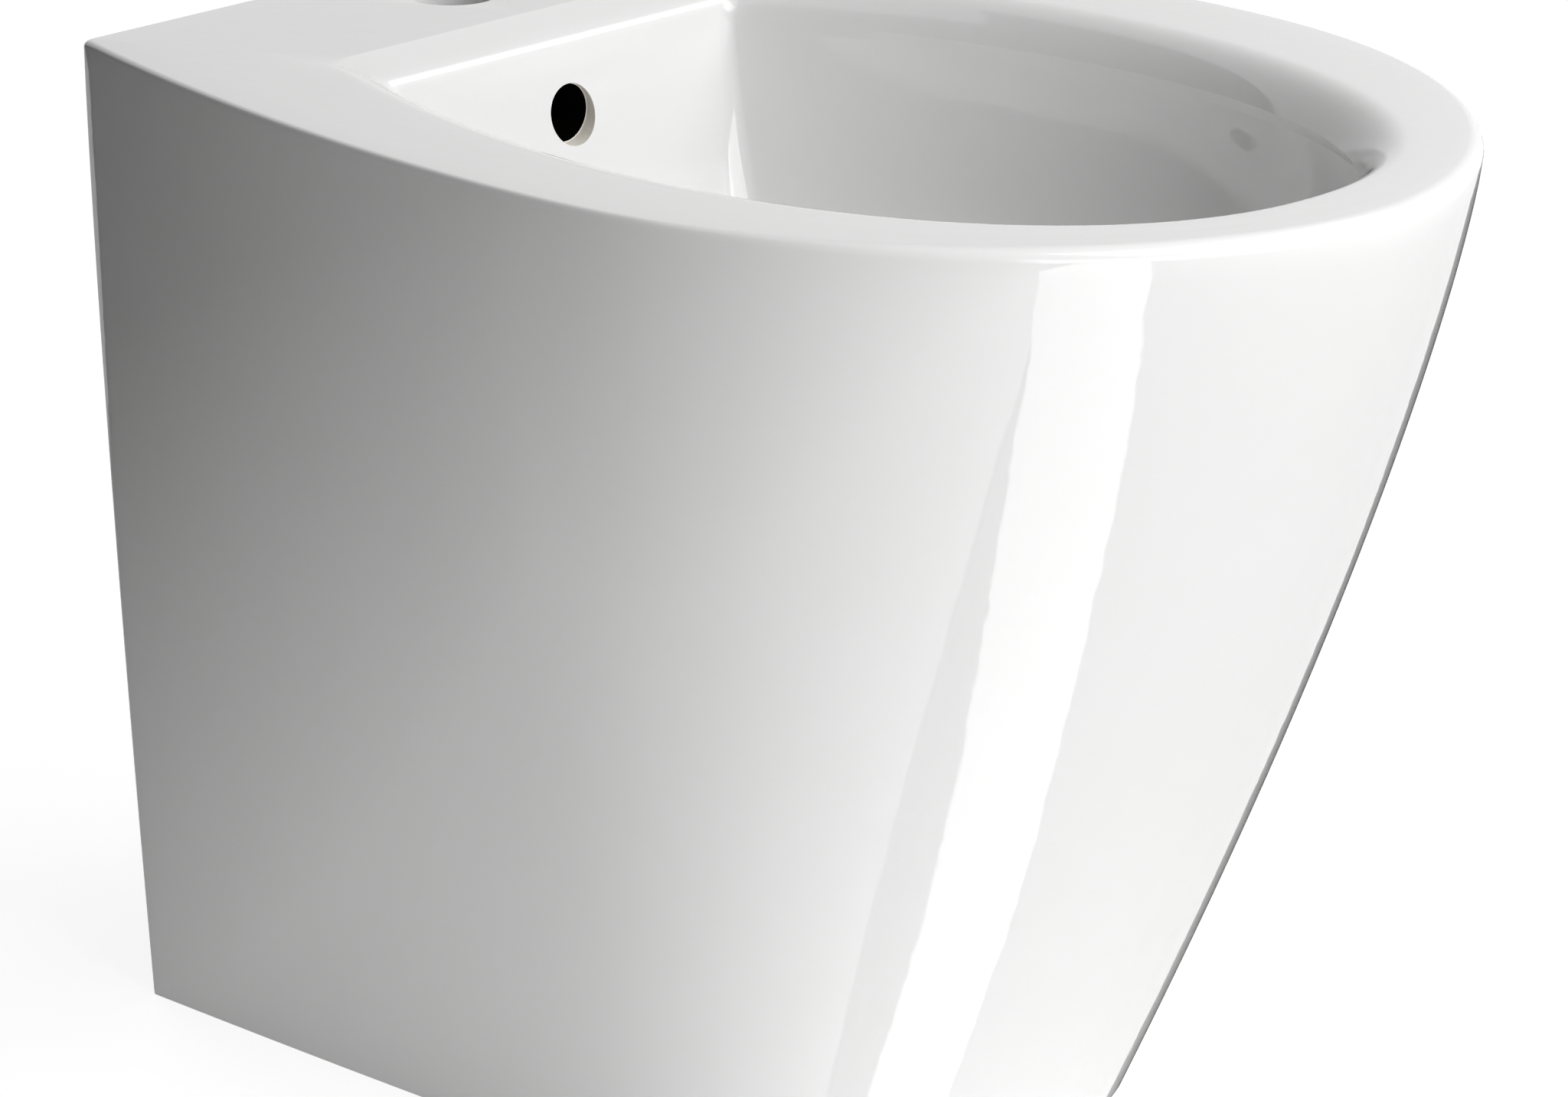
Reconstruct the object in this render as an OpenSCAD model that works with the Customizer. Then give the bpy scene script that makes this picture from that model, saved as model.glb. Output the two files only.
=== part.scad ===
// Back-to-wall floor standing bidet in glazed china, with its waste, trap and floor fixings.
// X is across, -Y is the nose, +Y is the wall and Z is up from the finished floor. Millimetres.
// The origin is on the floor under the middle of the bowl's overall length and width.

/* [China body, overall] */
// Length from the wall to the nose
body_length = 526; // [505:5:560]
// Width across the shoulders of the rim
body_width = 389; // [375:5:415]
// Height of the rim above the floor
body_height = 400; // [390:5:430]
// Width of the deck at the wall
back_width = 297; // [275:5:320]
// Distance from the wall to the shoulders of the rim
shoulder_from_wall = 300; // [290:2:316]

/* [China body, foot] */
// Length of the foot on the floor
foot_length = 369; // [357:2:400]
// Width of the foot across its shoulders
foot_width = 252; // [244:1:275]
// Width of the foot at the wall
foot_back_width = 253; // [244:1:270]
// Distance from the wall to the shoulders of the foot
foot_shoulder_from_wall = 268; // [258:1:278]

/* [China body, shell] */
// Thickness of the china skirt
skirt_wall = 12; // [10:0.5:14]
// Thickness of the skirt where it stands on the floor
foot_wall = 15; // [13:0.5:18]
// Thickness of the deck
deck_thickness = 14; // [12:0.5:17]
// Radius of the rounded edge at the back and the sides
edge_radius = 2.5; // [1.5:0.5:4]
// Radius of the rounded edge at the nose
nose_edge_radius = 7; // [5:0.5:9]
// Radius of the upright corners at the wall
back_corner_radius = 3; // [2:0.5:5]
// Width of the service opening in the back
service_width = 200; // [170:5:220]
// Height of the service opening in the back
service_height = 340; // [300:5:350]

/* [Bowl] */
// Distance from the wall to the deck's edge over the bowl
bowl_back = 95; // [91:1:100]
// Width of the bowl's mouth at its back edge
bowl_back_width = 220; // [204:2:234]
// Distance from the wall to the widest part of the bowl
bowl_shoulder_from_wall = 290; // [280:2:306]
// Width of the rim at each side
side_rim = 42; // [38:1:46]
// Width of the rim at the nose
nose_rim = 30; // [27:1:34]
// Height of the bowl's floor above the finished floor
bowl_floor_height = 232; // [230:1:242]
// Thickness of the bowl
bowl_wall = 12; // [10:0.5:13]
// How far the rim rolls inward before it turns down
rim_roll = 15.5; // [12:0.5:17]
// How far the bowl wall is undercut below the rim at the nose
rim_undercut = 4; // [0:0.5:5]
// Width of the chamfer at the back of the bowl
back_chamfer = 19; // [15:1:20]
// Drop of the chamfer at the back of the bowl
back_chamfer_drop = 8; // [6:0.5:10]

/* [Holes] */
// Diameter of the tap hole
tap_hole_diameter = 35; // [32:0.5:38]
// Distance of the tap hole from the wall
tap_from_wall = 53; // [48:1:58]
// Diameter of the overflow hole
overflow_diameter = 24; // [20:0.5:26]
// Depth of the overflow hole's middle below the rim
overflow_below_rim = 37; // [34:1:45]
// Diameter of the water way behind the overflow hole
overflow_duct_diameter = 17; // [14:0.5:19]
// Distance of the waste from the wall
waste_from_wall = 250; // [240:1:260]
// Diameter of the waste hole
waste_hole_diameter = 46; // [45:0.5:48]

/* [Waste] */
// Outer diameter of the threaded waste tube
waste_tube_diameter = 41.8; // [41.2:0.1:42]
// Wall of the waste tube
waste_tube_wall = 2.4; // [2:0.1:3]
// Length of the waste tube under its flange
waste_length = 81; // [78:1:84]
// Diameter of the waste flange
waste_flange_diameter = 64; // [60:1:66]
// Thickness of the waste flange
waste_flange_thickness = 4; // [3:0.5:5]
// Diameter of the plug's cap
plug_diameter = 60; // [56:1:63]
// How far the plug rises when it clicks open
plug_travel = 7; // [5:0.5:8]
// Diameter of the plug's stem
stem_diameter = 6; // [5:0.5:7]

/* [Trap] */
// Height of the outlet pipe above the floor
outlet_height = 95; // [90:1:98]
// Outer diameter of the trap's pipes
pipe_diameter = 32; // [30:0.5:33]
// Wall of the trap's pipes
pipe_wall = 1.5; // [1:0.1:2]
// Outer diameter of the trap's body
trap_diameter = 62; // [58:1:66]
// Wall of the trap's body
trap_wall = 2.5; // [2:0.1:3]
// Height of the cup's bottom above the floor
cup_bottom = 10; // [6:1:14]

/* [Floor fixings] */
// Distance of the side fixings from the wall
fixing_from_wall = 288; // [280:1:296]
// Height of the side fixings
fixing_height = 26; // [24:1:40]
// Diameter of the fixing screws
screw_diameter = 8; // [6:0.5:8]
// Diameter of the caps over the fixing screws
cap_diameter = 19; // [17:0.5:21]
// Thickness of the floor brackets
bracket_thickness = 3; // [2:0.5:4]
// Diameter of the floor holes in the brackets
floor_hole_diameter = 9; // [7:0.5:10]

/* [Hidden] */
$fn = 64;
eps = 0.01;
// Clearance between parts that are only assembled
gap = 0.3;
// Radial clearance of the plug's stem in its guide
slide_clearance = 0.05;
// Radial clearance of threads, which are drawn as plain cylinders
thread_clearance = 0.1;

// Colours
china_white = [0.93, 0.94, 0.94];
chrome_grey = [0.78, 0.8, 0.82];
rubber_black = [0.12, 0.12, 0.12];
plastic_white = [0.86, 0.87, 0.86];
brass_yellow = [0.72, 0.6, 0.3];
steel_grey = [0.62, 0.64, 0.66];

// The wall plane, and a distance from the wall turned into Y
wall_y = body_length / 2;
function from_wall(s) = wall_y - s;

// ---- Plan outlines ----
// An outline holds these sizes: half widths at the back and the shoulders, distances from the
// wall of the back, the shoulders and the nose, the corner radius, the length over which side
// and nose melt into each other, and the roundness of the nose.
HALF_BACK = 0;
HALF_WIDTH = 1;
BACK = 2;
SHOULDER = 3;
NOSE = 4;
CORNER = 5;
MELT = 6;
ROUND = 7;

// Points along the back edge, the corner, the side and the nose of half an outline
back_steps = 3;
corner_steps = 3;
side_steps = 12;
nose_steps = 15;

// x above zero, 0 below it, with a soft bend in between
function ramp(x, melt) = (x + sqrt(x * x + melt * melt)) / 2;

// Half width of an outline at a distance from the wall: a parabola to the shoulder, then an oval
function half_width(o, s) =
    let (
        to_back = ramp(o[SHOULDER] - o[BACK], o[MELT]),
        to_nose = ramp(o[NOSE] - o[SHOULDER], o[MELT]),
        side = ramp(o[SHOULDER] - s, o[MELT]) / to_back,
        nose = min(1, ramp(s - o[SHOULDER], o[MELT]) / to_nose),
        side_mid = o[MELT] / 2 / to_back,
        nose_mid = o[MELT] / 2 / to_nose,
        full = (o[HALF_WIDTH] - o[HALF_BACK] * side_mid ^ 2)
            / ((1 - nose_mid ^ 2) ^ (1 / o[ROUND]) - side_mid ^ 2))
    max(0, full * (1 - nose ^ 2) ^ (1 / o[ROUND]) - (full - o[HALF_BACK]) * side ^ 2);

// Points [half width, distance from the wall] from the middle of the back to the nose
function half_outline(o) = concat(
    [for (i = [0:back_steps - 1])
        [(half_width(o, o[BACK]) - o[CORNER]) * i / back_steps, o[BACK]]],
    [for (i = [0:corner_steps])
        let (a = 90 * i / corner_steps, s = o[BACK] + o[CORNER] * (1 - cos(a)))
        [half_width(o, s) - o[CORNER] * (1 - sin(a)), s]],
    [for (i = [1:side_steps])
        let (s = o[BACK] + o[CORNER] + (o[SHOULDER] - o[BACK] - o[CORNER]) * i / side_steps)
        [half_width(o, s), s]],
    [for (i = [1:nose_steps])
        let (s = i == nose_steps ? o[NOSE]
            : o[SHOULDER] + (o[NOSE] - o[SHOULDER]) * sin(90 * i / nose_steps))
        [i == nose_steps ? 0 : half_width(o, s), s]]);

half_count = back_steps + corner_steps + 1 + side_steps + nose_steps;
ring_count = 2 * half_count - 2;

// Index on the half outline of each point of a full ring, and the side that it is on
function half_index(i) = i < half_count ? i : ring_count - i;
function half_side(i) = i < half_count ? 1 : -1;
function ring_point(i, p, z) = [half_side(i) * p[0], from_wall(p[1]), z];
function flat_ring(o, z) =
    let (h = half_outline(o))
    [for (i = [0:ring_count - 1]) ring_point(i, h[half_index(i)], z)];

function blend(a, b, t) = a * (1 - t) + b * t;

// ---- Outer skin ----
// The skin draws in towards the floor, most of all at the nose. Rise is 0 at the floor and 1
// where the rounded edge of the deck begins.
nose_sweep_power = 1.2;
side_sweep_power = 1.8;
back_sweep_power = 1.35;
edge_growth_power = 1.6;
skin_melt = 60;
skin_roundness = 1.8;
function swept(top, foot, rise, power) = top - (top - foot) * (1 - rise) ^ power;
function skin_outline(rise, inset) = [
    swept(back_width, foot_back_width, rise, back_sweep_power) / 2 - inset,
    swept(body_width, foot_width, rise, side_sweep_power) / 2 - inset,
    inset,
    swept(shoulder_from_wall, foot_shoulder_from_wall, rise, nose_sweep_power),
    swept(body_length, foot_length, rise, nose_sweep_power) - inset,
    back_corner_radius,
    skin_melt,
    skin_roundness
];
top_points = half_outline(skin_outline(1, 0));
inner_top_points = half_outline(skin_outline(1, 1));

// Radius of the deck's rounded edge, which grows from the shoulder to the nose
function edge_at(k) =
    let (share = (top_points[k][1] - shoulder_from_wall) / (body_length - shoulder_from_wall))
    blend(edge_radius, nose_edge_radius, max(0, share) ^ edge_growth_power);
function skin_ring(rise) =
    let (h = half_outline(skin_outline(rise, 0)))
    [for (i = [0:ring_count - 1])
        let (k = half_index(i))
        ring_point(i, h[k], (body_height - edge_at(k)) * rise)];
function edge_ring(turn) =
    [for (i = [0:ring_count - 1])
        let (
            k = half_index(i),
            r = edge_at(k),
            inward = (inner_top_points[k] - top_points[k]) * r * (1 - cos(turn)))
        ring_point(i, top_points[k] + inward, body_height - r * (1 - sin(turn)))];
// Inner face of the skirt, thicker at the foot
function inner_ring(rise) =
    flat_ring(skin_outline(rise, blend(foot_wall, skirt_wall, min(1, rise * 3))), body_height * rise);

// ---- Bowl ----
bowl_corner_radius = 9;
// The upright corners of the bowl open out as they go down
corner_growth = 50;
bowl_melt = 30;
bowl_roundness = 2.2;
function bowl_outline(outset, back_outset, corner) = [
    bowl_back_width / 2 + outset,
    body_width / 2 - side_rim + outset,
    bowl_back - back_outset,
    bowl_shoulder_from_wall,
    body_length - nose_rim + outset,
    corner,
    bowl_melt,
    bowl_roundness
];

// 1 on the back edge of the bowl, falling to 0 round its corner
function back_share(i) = max(0, min(1, 1 - (half_index(i) - back_steps) / (corner_steps + 1)));
// 0 at the corner of the bowl, growing to 1 at the nose
function nose_share(i) =
    (max(0, half_index(i) - back_steps - corner_steps) / (side_steps + nose_steps)) ^ 1.5;

// A ring round the rim's roll, from the deck's flat (turn 0) to the bowl's wall (turn 90).
// Along the back the roll is a flat chamfer.
function roll_ring(turn, corner) =
    let (h = half_outline(bowl_outline(-rim_roll * sin(turn), -back_chamfer * sin(turn), corner)))
    [for (i = [0:ring_count - 1])
        let (drop = blend(rim_roll * (1 - cos(turn)), back_chamfer_drop * sin(turn), back_share(i)))
        ring_point(i, h[half_index(i)], body_height - drop)];

// The bowl's wall leans in, then curves down to a round floor about the waste.
waste_y = from_wall(waste_from_wall);
bowl_floor_radius = waste_flange_diameter / 2 + 3;
wall_lean = 0.21;
bowl_power = 2.6;
floor_power = 6;
undercut_depth = 0.3;
function bowl_scale(t) = (1 - wall_lean * t) * (1 - t ^ bowl_power) ^ (1 / bowl_power);

// The point under p at depth t, where 0 is the bowl's edge and 1 its floor
function bowl_point(p, t, floor_z, floor_radius, undercut) =
    let (
        arm = [p[0], p[1] - waste_y],
        hollow = undercut * sin(180 * min(1, t / undercut_depth)),
        reach = blend(norm(arm) * bowl_scale(t) + hollow, floor_radius, t ^ floor_power),
        q = arm / norm(arm) * reach)
    [q[0], waste_y + q[1], blend(p[2], floor_z, t)];
function bowl_ring(t) =
    let (edge = roll_ring(90, bowl_corner_radius + corner_growth * t ^ 2))
    [for (i = [0:ring_count - 1])
        bowl_point(edge[i], t, bowl_floor_height, bowl_floor_radius, rim_undercut * nose_share(i))];

// The bowl's outer face follows the same rule, one wall further out
bowl_back_face = bowl_back + back_chamfer - bowl_wall;
bowl_under_z = bowl_floor_height - bowl_wall - 2;
// The boss under the waste stands out of the bowl's underside
boss_radius = waste_hole_diameter / 2 + 15;
under_floor_radius = boss_radius - 5;
function under_ring(t) =
    let (edge = flat_ring(bowl_outline(bowl_wall + rim_undercut - rim_roll, bowl_wall - back_chamfer,
        bowl_corner_radius + bowl_wall / 2 + corner_growth * t ^ 2), body_height - deck_thickness))
    [for (i = [0:ring_count - 1]) bowl_point(edge[i], t, bowl_under_z, under_floor_radius, 0)];

// ---- Rings of the whole casting, from the bowl's floor over the rim, down and back inside ----
bowl_steps = 12;
roll_steps = 5;
edge_steps = 4;
skin_steps = 10;
inner_steps = 7;
under_steps = 9;
inner_rise = (body_height - deck_thickness) / body_height;
// Rings crowd together where the wall turns into the floor
function eased(i, n) = sin(90 * i / n);
casting_rings = concat(
    [for (i = [bowl_steps:-1:1]) bowl_ring(eased(i, bowl_steps))],
    [for (i = [roll_steps:-1:0]) roll_ring(90 * i / roll_steps, bowl_corner_radius)],
    [for (i = [edge_steps:-1:1]) edge_ring(90 * i / edge_steps)],
    [for (i = [skin_steps:-1:0]) skin_ring(i / skin_steps)],
    [for (i = [0:inner_steps]) inner_ring(inner_rise * i / inner_steps)],
    [for (i = [0:under_steps]) under_ring(eased(i, under_steps))]);

// A closed solid through a list of rings of the same count
module ring_solid(rings) {
    n = len(rings[0]);
    last = len(rings) - 1;
    polyhedron(
        points = [for (r = rings) each r],
        faces = concat(
            [[for (i = [0:n - 1]) i]],
            [for (k = [0:last - 1], i = [0:n - 1]) each [
                [k * n + i, (k + 1) * n + i, (k + 1) * n + (i + 1) % n],
                [k * n + i, (k + 1) * n + (i + 1) % n, k * n + (i + 1) % n]]],
            [[for (i = [n - 1:-1:0]) last * n + i]]),
        convexity = 8);
}

// ---- Levels of the waste, all measured up from the floor ----
seat_recess = 4;
seat_z = bowl_floor_height - seat_recess;
gasket_thickness = 1.5;
flange_z = seat_z + gasket_thickness;
flange_top = flange_z + waste_flange_thickness;
tube_bottom = flange_z - waste_length;
boss_height = 30;
boss_bottom = seat_z - boss_height;
chamber_height = 14;
tube_radius = waste_tube_diameter / 2;
bore_radius = tube_radius - waste_tube_wall;

taper_height = 6;
slip_thickness = 2;
nut_height = 12;
nut_radius = 31;
washer_bore = tube_radius + gap;

// Overflow water way: down behind the bowl, then forward to the chamber round the waste
duct_radius = overflow_duct_diameter / 2;
duct_wall = 6;
// How far the upright run's wall and bore reach below the level run's middle and wall
duct_heel = duct_wall / 2;
duct_bore_heel = 2 - duct_radius;
duct_y = from_wall(bowl_back_face - duct_radius);
overflow_z = body_height - overflow_below_rim;
duct_floor_z = boss_bottom + duct_radius + duct_wall + gap;
chamber_z = duct_floor_z - chamber_height / 2;

module tube_y(r, y0, y1, x, z) {
    translate([x, min(y0, y1), z]) rotate([-90, 0, 0]) cylinder(r = r, h = abs(y1 - y0));
}
// An upright run and a level run that cross at the foot of the upright one
module duct(r, foot, top) {
    translate([0, duct_y, duct_floor_z - duct_radius - foot])
        cylinder(r = r, h = top - duct_floor_z + duct_radius + foot);
    tube_y(r, duct_y, waste_y, 0, duct_floor_z);
}

// ---- Side fixings ----
hole_radius = screw_diameter / 2 + 2.5;
spot_radius = cap_diameter / 2 + 0.8;
spot_depth = 4.5;
fixing_outline = skin_outline(fixing_height / body_height, 0);
fixing_x = half_width(fixing_outline, fixing_from_wall);
// Angle in plan between the fixing's axis and X, square to the skin
fixing_turn = atan(half_width(fixing_outline, fixing_from_wall - 1) - fixing_x);

// Places children with their +X along the inward normal of the skin at a side fixing
module at_fixing(side) {
    mirror([side > 0 ? 0 : 1, 0, 0])
        translate([fixing_x, from_wall(fixing_from_wall), 0])
            rotate([0, 0, 180 - fixing_turn])
                children();
}
module along_x(r, x0, x1) {
    translate([x0, 0, fixing_height]) rotate([0, 90, 0]) cylinder(r = r, h = x1 - x0);
}

// ---- China ----
module bidet_body() {
    color(china_white)
    difference() {
        union() {
            ring_solid(casting_rings);
            // Boss under the waste hole
            translate([0, waste_y, boss_bottom])
                cylinder(r = boss_radius, h = seat_z - boss_bottom);
            // Water way from the overflow hole
            duct(duct_radius + duct_wall, duct_heel, body_height - deck_thickness / 2);
        }
        duct(duct_radius, duct_bore_heel, overflow_z + duct_radius);
        tube_y(overflow_diameter / 2, from_wall(bowl_back + back_chamfer + bowl_wall), duct_y,
            0, overflow_z);
        at_waste() {
            // Seat, hole and overflow chamber of the waste
            lift(seat_z) cylinder(r = bowl_floor_radius - 1, h = 2 * seat_recess);
            lift(boss_bottom - 1) cylinder(d = waste_hole_diameter, h = boss_height + 2);
            lift(chamber_z) cylinder(r = waste_hole_diameter / 2 + 4, h = chamber_height);
        }
        translate([0, from_wall(tap_from_wall), body_height - 2 * deck_thickness])
            cylinder(d = tap_hole_diameter, h = 3 * deck_thickness);
        service_opening();
        for (side = [-1, 1]) at_fixing(side) {
            along_x(hole_radius, 0, 3 * foot_wall);
            along_x(spot_radius, -spot_radius, spot_depth);
        }
    }
}

// Opening in the back for the pipes, with rounded top corners
module service_opening() {
    corner = 25;
    depth = 2 * skirt_wall;
    straight = service_height - corner;
    translate([0, wall_y + 1, 0])
        rotate([90, 0, 0])
            linear_extrude(depth)
                union() {
                    translate([-service_width / 2, -1]) square([service_width, straight + 1]);
                    translate([corner - service_width / 2, straight - 1])
                        square([service_width - 2 * corner, corner + 1]);
                    for (side = [-1, 1])
                        translate([side * (service_width / 2 - corner), straight]) circle(corner);
                }
}

module lift(z) {
    translate([0, 0, z]) children();
}
module at_waste() {
    translate([0, waste_y, 0]) children();
}
// A ring or tube about Z, from z0 up to z1
module washer(outer, inner, z0, z1) {
    lift(z0)
        difference() {
            cylinder(r = outer, h = z1 - z0);
            lift(-1) cylinder(r = inner, h = z1 - z0 + 2);
        }
}
// Hexagon across its corners, with a bore
module hex_nut(outer, inner, z0, z1) {
    lift(z0)
        difference() {
            cylinder(r = outer, h = z1 - z0, $fn = 6);
            lift(-1) cylinder(r = inner, h = z1 - z0 + 2);
        }
}

// ---- Waste ----
throat_depth = 5;
mouth_radius = bore_radius + 2;
slot_count = 4;
slot_width = 12;
bridge_height = 5;
bar_count = 3;
bar_width = 3;
stud_radius = 4;
stud_length = 8;

// The click cartridge stands on the bridge, under the plug
seal_thickness = 1.5;
cap_z = flange_top + gap + seal_thickness;
cap_boss_height = 5;
cap_boss_radius = 7;
cartridge_radius = 8;
cavity_radius = 5.2;
cartridge_floor = 2;
guide_length = 4;
collar_height = 2;
collar_radius = 4.9;
spring_closed = 8;
cavity_height = spring_closed + collar_height + plug_travel + 1;
cartridge_top = cap_z - cap_boss_height - 2.5;
cartridge_z = cartridge_top - guide_length - cavity_height - cartridge_floor;
spring_z = cartridge_z + cartridge_floor;
collar_z = spring_z + spring_closed;
stem_radius = stem_diameter / 2;

module waste_body() {
    color(chrome_grey)
    at_waste() {
        difference() {
            union() {
                lift(flange_z) cylinder(d = waste_flange_diameter, h = waste_flange_thickness);
                lift(tube_bottom) cylinder(r = tube_radius, h = waste_length + 1);
            }
            lift(tube_bottom - 1) cylinder(r = bore_radius, h = waste_length + 10);
            lift(flange_top - throat_depth)
                cylinder(r1 = bore_radius, r2 = mouth_radius + throat_depth / 5, h = throat_depth + 1);
            // Overflow slots, level with the chamber in the china
            for (i = [0:slot_count - 1])
                rotate([0, 0, 360 * (i + 0.5) / slot_count])
                    translate([0, -slot_width / 2, chamber_z + 1])
                        cube([2 * tube_radius, slot_width, chamber_height - 2]);
        }
        waste_bridge();
    }
}

// Three bars across the tube, with a threaded boss for the cartridge
module waste_bridge() {
    lift(cartridge_z - bridge_height)
        difference() {
            union() {
                cylinder(r = cartridge_radius, h = bridge_height);
                for (i = [0:bar_count - 1])
                    rotate([0, 0, 360 * i / bar_count])
                        translate([0, -bar_width / 2, 0])
                            cube([bore_radius + waste_tube_wall / 2, bar_width, bridge_height]);
            }
            lift(-1) cylinder(r = stud_radius, h = bridge_height + 2);
        }
}

module flange_gasket() {
    color(rubber_black)
    at_waste() washer(waste_flange_diameter / 2 - 1, washer_bore, seat_z, flange_z);
}

module taper_washer() {
    color(rubber_black)
    at_waste()
        lift(boss_bottom - taper_height)
            difference() {
                cylinder(r1 = nut_radius - 3, r2 = nut_radius + 2, h = taper_height);
                lift(-1) cylinder(r = washer_bore, h = taper_height + 2);
            }
}

slip_z = boss_bottom - taper_height - slip_thickness;
module slip_washer() {
    color(plastic_white)
    at_waste() washer(nut_radius - 2, washer_bore, slip_z, slip_z + slip_thickness);
}

module back_nut() {
    color(brass_yellow)
    at_waste() hex_nut(nut_radius, tube_radius + thread_clearance, slip_z - nut_height, slip_z);
}

module click_cartridge() {
    color(brass_yellow)
    at_waste()
        difference() {
            union() {
                lift(cartridge_z) cylinder(r = cartridge_radius, h = cartridge_top - cartridge_z);
                lift(cartridge_z - stud_length)
                    cylinder(r = stud_radius - thread_clearance, h = stud_length + 1);
            }
            lift(spring_z) cylinder(r = cavity_radius, h = cavity_height);
            lift(spring_z + 1) cylinder(r = stem_radius + slide_clearance, h = cavity_height + 20);
        }
}

spring_turns = 4.5;
spring_radius = 4;
spring_wire = 0.9;
spring_rings_per_turn = 14;
module click_spring() {
    wire_sides = 6;
    end_gap = 0.1;
    rings = spring_turns * spring_rings_per_turn;
    rise = spring_closed - spring_wire - 2 * end_gap;
    color(steel_grey)
    at_waste()
        lift(spring_z + end_gap + spring_wire / 2)
            ring_solid([for (k = [0:rings])
                let (turn = 360 * k / spring_rings_per_turn, z = rise * k / rings)
                [for (i = [0:wire_sides - 1])
                    let (
                        a = -360 * i / wire_sides,
                        r = spring_radius + spring_wire / 2 * cos(a))
                    [r * cos(turn), r * sin(turn), z + spring_wire / 2 * sin(a)]]]);
}

module plug_stem() {
    color(steel_grey)
    at_waste() {
        lift(collar_z) cylinder(r = collar_radius, h = collar_height);
        lift(collar_z + 1) cylinder(r = stem_radius, h = cap_z - collar_z - 1);
    }
}

module plug_seal() {
    color(rubber_black)
    at_waste() washer(mouth_radius + 6, mouth_radius - 4, cap_z - seal_thickness, cap_z);
}

// Low dome with a rounded rim and a boss for the stem
module plug_cap() {
    rim = 1.2;
    crown = 4.5;
    plug_radius = plug_diameter / 2;
    // Radius of the sphere that rises to the crown over the plug's width
    dome = (pow(plug_radius - rim, 2) + pow(crown - rim, 2)) / (2 * (crown - rim));
    color(chrome_grey)
    at_waste()
        difference() {
            union() {
                lift(cap_z)
                    rotate_extrude()
                        intersection() {
                            union() {
                                translate([0, crown - dome]) circle(dome, $fn = 256);
                                translate([plug_radius - rim, rim]) circle(rim);
                                square([plug_radius - rim, 2 * rim]);
                            }
                            square([plug_radius, crown]);
                        }
                lift(cap_z - cap_boss_height) cylinder(r = cap_boss_radius, h = cap_boss_height);
            }
            lift(cap_z - cap_boss_height - 1)
                cylinder(r = stem_radius + slide_clearance, h = cap_boss_height + 1);
        }
}

// ---- Trap ----
pipe_radius = pipe_diameter / 2;
pipe_bore = pipe_radius - pipe_wall;
trap_radius = trap_diameter / 2;
inlet_washer_thickness = 2;
dip_flange_thickness = 2.5;
dip_flange_radius = tube_radius - 0.5;
dip_flange_z = tube_bottom - inlet_washer_thickness - dip_flange_thickness;
nut_lip = 4;
// Depth of water that the trap holds against smells
water_seal = 45;
dip_bottom = outlet_height - pipe_bore - water_seal;
branch_radius = pipe_radius + 3;
branch_length = 58;
pipe_socket = 20;
collar_length = 12;
head_bottom = outlet_height - branch_radius - collar_length - 2;
head_top = outlet_height + branch_radius + 1;
neck_radius = pipe_radius + 5;
neck_height = 10;
neck_top = head_top + neck_height;
cone_washer = 3;

inlet_nut_wall = 5;
inlet_nut_grip = 14;
module trap_inlet_nut() {
    height = nut_lip + dip_flange_thickness + inlet_nut_grip;
    color(chrome_grey)
    at_waste()
        difference() {
            lift(dip_flange_z - nut_lip)
                cylinder(r = tube_radius + inlet_nut_wall, h = height, $fn = 8);
            lift(dip_flange_z) cylinder(r = tube_radius + thread_clearance, h = height);
            lift(dip_flange_z - nut_lip - 1) cylinder(r = pipe_radius + gap, h = nut_lip + 2);
        }
}

module trap_inlet_washer() {
    color(rubber_black)
    at_waste()
        washer(dip_flange_radius, pipe_bore, tube_bottom - inlet_washer_thickness, tube_bottom);
}

module dip_tube() {
    color(chrome_grey)
    at_waste()
        difference() {
            union() {
                lift(dip_flange_z) cylinder(r = dip_flange_radius, h = dip_flange_thickness);
                lift(dip_bottom) cylinder(r = pipe_radius, h = dip_flange_z - dip_bottom + 1);
            }
            lift(dip_bottom - 1) cylinder(r = pipe_bore, h = dip_flange_z - dip_bottom + 10);
        }
}

// A compression nut from z = 0 up: thread over a neck, then a lip over the cone washer
lip_reach = cone_washer + nut_lip - 1;
module compression_nut(neck, grip) {
    difference() {
        cylinder(r = neck + 4.5, h = grip + lip_reach, $fn = 8);
        lift(-1) cylinder(r = neck + thread_clearance, h = grip + cone_washer + 1);
        lift(grip) cylinder(r = pipe_radius + gap, h = 2 * lip_reach);
    }
}

// A rubber washer whose bore fits the pipe, with a bevelled outer edge
module compression_washer(neck) {
    difference() {
        cylinder(r1 = neck - 0.4, r2 = neck - 1.4, h = cone_washer);
        lift(-1) cylinder(r = pipe_radius + slide_clearance, h = cone_washer + 2);
    }
}

module trap_head_nut() {
    color(chrome_grey)
    at_waste() lift(head_top + gap) compression_nut(neck_radius, neck_height - gap);
}

module trap_head_washer() {
    color(rubber_black)
    at_waste() lift(neck_top) compression_washer(neck_radius);
}

module trap_head() {
    color(chrome_grey)
    difference() {
        union() {
            at_waste() {
                lift(head_bottom) cylinder(r = trap_radius, h = head_top - head_bottom);
                lift(head_top - 1) cylinder(r = neck_radius, h = neck_height + 1);
            }
            tube_y(branch_radius, waste_y, waste_y + branch_length, 0, outlet_height);
        }
        at_waste() {
            lift(head_bottom - 1)
                cylinder(r = trap_radius - trap_wall, h = head_top - head_bottom - trap_wall + 1);
            lift(head_top - 2 * trap_wall) cylinder(r = pipe_radius + gap, h = neck_height + 10);
        }
        tube_y(pipe_bore, waste_y, waste_y + branch_length, 0, outlet_height);
        tube_y(pipe_radius + gap / 2, waste_y + branch_length - pipe_socket,
            waste_y + branch_length + 1, 0, outlet_height);
    }
}

seal_height = 2;
module cup_seal() {
    color(rubber_black)
    at_waste()
        washer(trap_radius - gap, trap_radius - trap_wall + gap, head_bottom - seal_height, head_bottom);
}

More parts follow.
